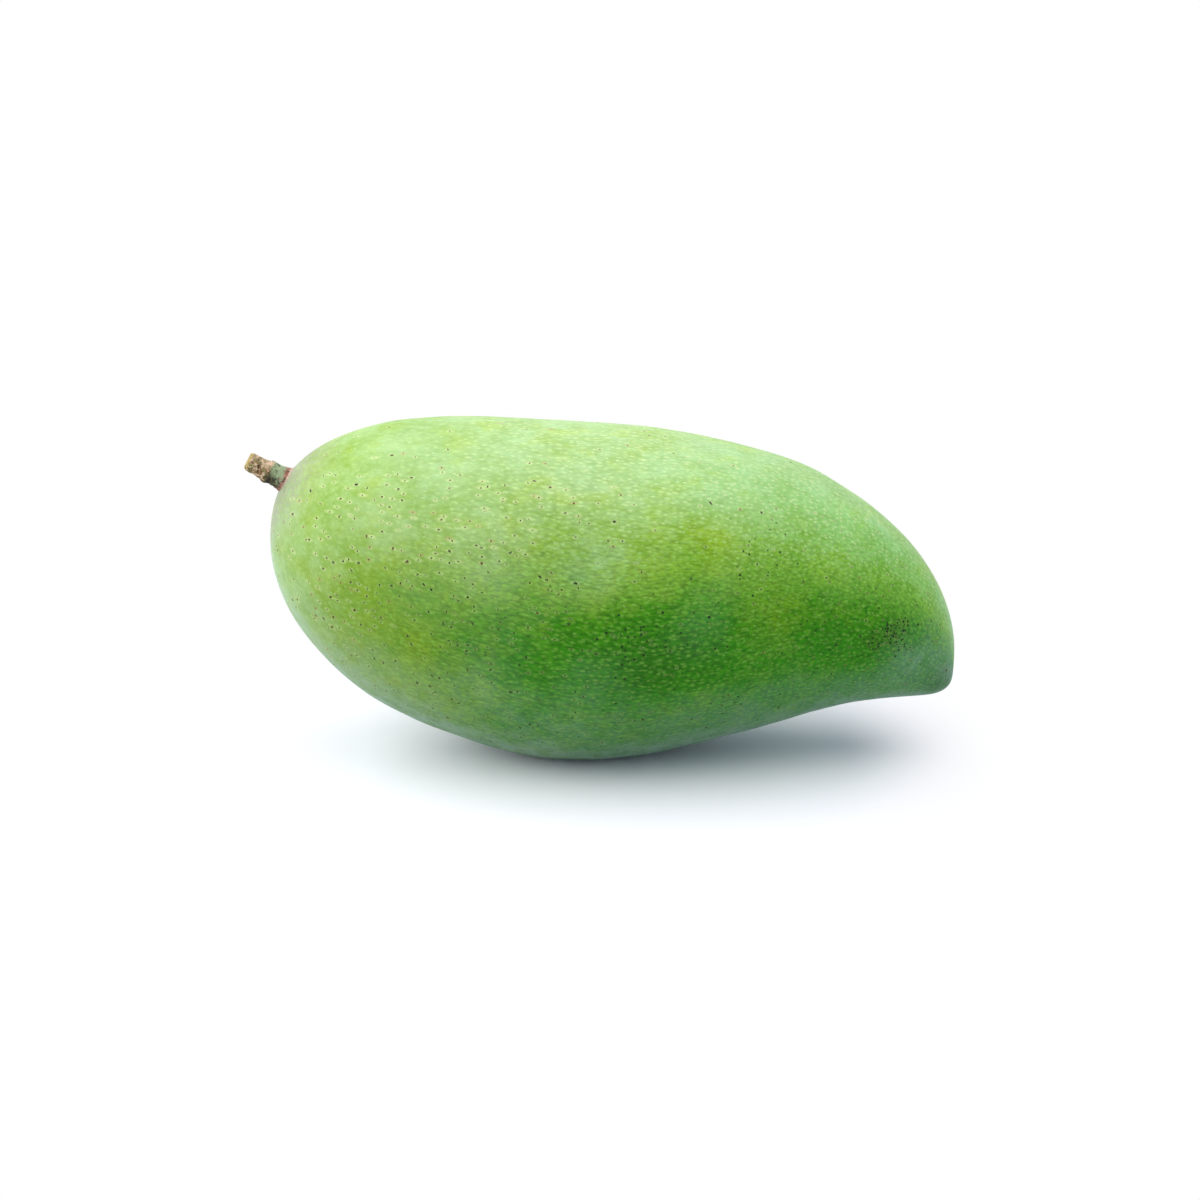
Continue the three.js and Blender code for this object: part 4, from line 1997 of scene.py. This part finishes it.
@dataclass(frozen=True)
class Lamp:
    """A softbox: where it hangs, its width and height, and how bright its face is.

    Azimuth and elevation are in degrees. Azimuth 0 is at the camera's side and
    90 is at the beak's.
    """

    name: str
    azimuth: float
    elevation: float
    distance: float
    width: float
    height: float
    brightness: float
    colour: Colour = (1.0, 0.98, 0.94)

    def build(self) -> bpy.types.Object:
        """Hangs the softbox and turns it towards the fruit.

        A face of area a and brightness b gives out pi * a * b watts.

        Returns:
            The lamp.
        """
        light = bpy.data.lights.new(self.name, "AREA")
        light.shape = "RECTANGLE"
        light.size, light.size_y = self.width, self.height
        light.energy = math.pi * self.width * self.height * self.brightness
        light.color = self.colour
        made = bpy.data.objects.new(self.name, light)
        bpy.context.scene.collection.objects.link(made)
        turn, rise = math.radians(self.azimuth), math.radians(self.elevation)
        away = Vector((math.sin(turn) * math.cos(rise), -math.cos(turn) * math.cos(rise),
                       math.sin(rise)))
        made.location = away * self.distance
        made.rotation_euler = away.to_track_quat("Z", "Y").to_euler()
        return made


@dataclass(frozen=True)
class Studio:
    """A white table between a window-like softbox and an overhead one, in white.

    The floor's white is a little brighter than plain paper where it is seen
    directly, so that it stays white beyond the shadow. It fades to plain white
    between two distances from the middle, which count a little less in depth.
    """

    floor_side: float = 12.0
    floor_bounce: Colour = (0.50, 0.50, 0.50)
    floor_seen: Colour = (1.15, 1.125, 1.18)
    fade_from: float = 0.052
    fade_to: float = 0.09
    fade_in_depth: float = 0.8
    fill: Colour = (0.80, 0.875, 1.05)
    fill_strength: float = 0.5
    white: Colour = (1.0, 1.0, 1.0)
    lamps: tuple[Lamp, ...] = (
        Lamp("window_softbox", azimuth=274.0, elevation=39.0, distance=1.2,
             width=2.2, height=1.1, brightness=2.06),
        Lamp("overhead_softbox", azimuth=82.0, elevation=69.0, distance=1.3,
             width=1.6, height=1.6, brightness=0.85),
    )

    def seen_directly(self, make: Recipe) -> Socket:
        """Tells what the camera, a reflection or clear glass sees from the rest.

        Args:
            make: the recipe that the nodes go into.

        Returns:
            1 for what they see, otherwise 0.
        """
        path = make.node("ShaderNodeLightPath")
        seen = make.sum(Sum.LARGEST, path.outputs["Is Camera Ray"],
                        path.outputs["Is Glossy Ray"])
        return make.sum(Sum.LARGEST, seen, path.outputs["Is Transmission Ray"])

    def floor_finish(self) -> bpy.types.Material:
        """Builds white paper that keeps the shadow and turns plain white further out.

        Returns:
            The material of the floor.
        """
        made, make = new_material("white_paper")
        seen = self.seen_directly(make)
        paper = make.node("ShaderNodeBsdfDiffuse")
        make.feed(paper.inputs["Color"], make.lay(seen, self.floor_bounce, self.floor_seen))
        glow = make.node("ShaderNodeEmission")
        x, y, _ = make.parts(make.place())
        far = make.plus(make.times(x, x), make.times(y, y, self.fade_in_depth))
        far = make.rise(make.sum(Sum.ROOT, far), Rise(self.fade_from, self.fade_to))
        make.shine_through(make.times(far, seen), paper, glow, "ShaderNodeOutputMaterial")
        return made

    def floor(self, height: float) -> bpy.types.Object:
        """Lays the floor under the fruit.

        Args:
            height: the floor's height.

        Returns:
            The floor.
        """
        half = self.floor_side / 2.0
        mesh = bpy.data.meshes.new("studio_floor")
        corners = [(-half, -half, height), (half, -half, height),
                   (half, half, height), (-half, half, height)]
        mesh.from_pydata(corners, [], [(0, 1, 2, 3)])
        made = add_piece(mesh, self.floor_finish())
        made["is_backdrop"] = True
        return made

    def surroundings(self) -> bpy.types.World:
        """Makes a world that is white to look at, and a cooler, weaker fill light.

        Returns:
            The world.
        """
        world = bpy.data.worlds.new("white_room")
        world.use_nodes = True
        make = Recipe(world.node_tree)
        seen = self.seen_directly(make)
        fill = make.node("ShaderNodeBackground")
        make.feed(fill.inputs["Color"], self.fill)
        fill.inputs["Strength"].default_value = self.fill_strength
        plain = make.node("ShaderNodeBackground")
        make.feed(plain.inputs["Color"], self.white)
        make.shine_through(seen, fill, plain, "ShaderNodeOutputWorld")
        bpy.context.scene.world = world
        return world

    def build(self, ground: float) -> None:
        """Sets up the floor, the surroundings and the lamps.

        Args:
            ground: the height that the object rests at.
        """
        self.floor(ground)
        self.surroundings()
        for lamp in self.lamps:
            lamp.build()
        bpy.context.scene.view_settings.view_transform = "Standard"


@dataclass(frozen=True)
class Viewpoint:
    """A long lens, a little above the fruit, square to its side.

    Distances are shares of the object's length and height. The lens and the
    sensor are in millimetres.
    """

    lens: float = 100.0
    sensor: float = 36.0
    elevation: float = math.radians(18.0)
    distance: float = 4.69
    aim_height: float = 0.4606
    aim_forward: float = -0.0024

    def build(self, low: Vector, high: Vector) -> bpy.types.Object:
        """Places the camera from the object's box.

        Args:
            low: the box's lowest corner.
            high: the box's highest corner.

        Returns:
            The camera.
        """
        length, height = high.x - low.x, high.z - low.z
        aim = Vector(((low.x + high.x) / 2.0, self.aim_forward * length,
                      low.z + self.aim_height * height))
        back = Vector((0.0, -math.cos(self.elevation), math.sin(self.elevation)))
        lens = bpy.data.cameras.new("camera")
        lens.lens = self.lens
        lens.sensor_width = self.sensor
        made = bpy.data.objects.new("camera", lens)
        bpy.context.scene.collection.objects.link(made)
        made.location = aim + self.distance * length * back
        made.rotation_euler = back.to_track_quat("Z", "Y").to_euler()
        bpy.context.scene.camera = made
        return made


# ---------------------------------------------------------------- the build

def report(piece: bpy.types.Object) -> None:
    """Logs a piece's size and its number of faces."""
    size = ", ".join(f"{side / MM:.1f}" for side in piece.dimensions)
    LOG.info("%s: %s mm, %d faces", piece.name, size, len(piece.data.polygons))


def main() -> None:
    """Builds the viewpoint, the fruit, the stem and the studio, in that order."""
    logging.basicConfig(level=logging.INFO, format="%(name)s: %(message)s")
    cad_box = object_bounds()
    Viewpoint().build(*cad_box)
    fruit = Fruit()
    report(fruit.build())
    stem = Stem(seat=fruit.seat())
    report(stem.build())
    Studio().build(cad_box[0].z)


if __name__ == "__main__":
    main()
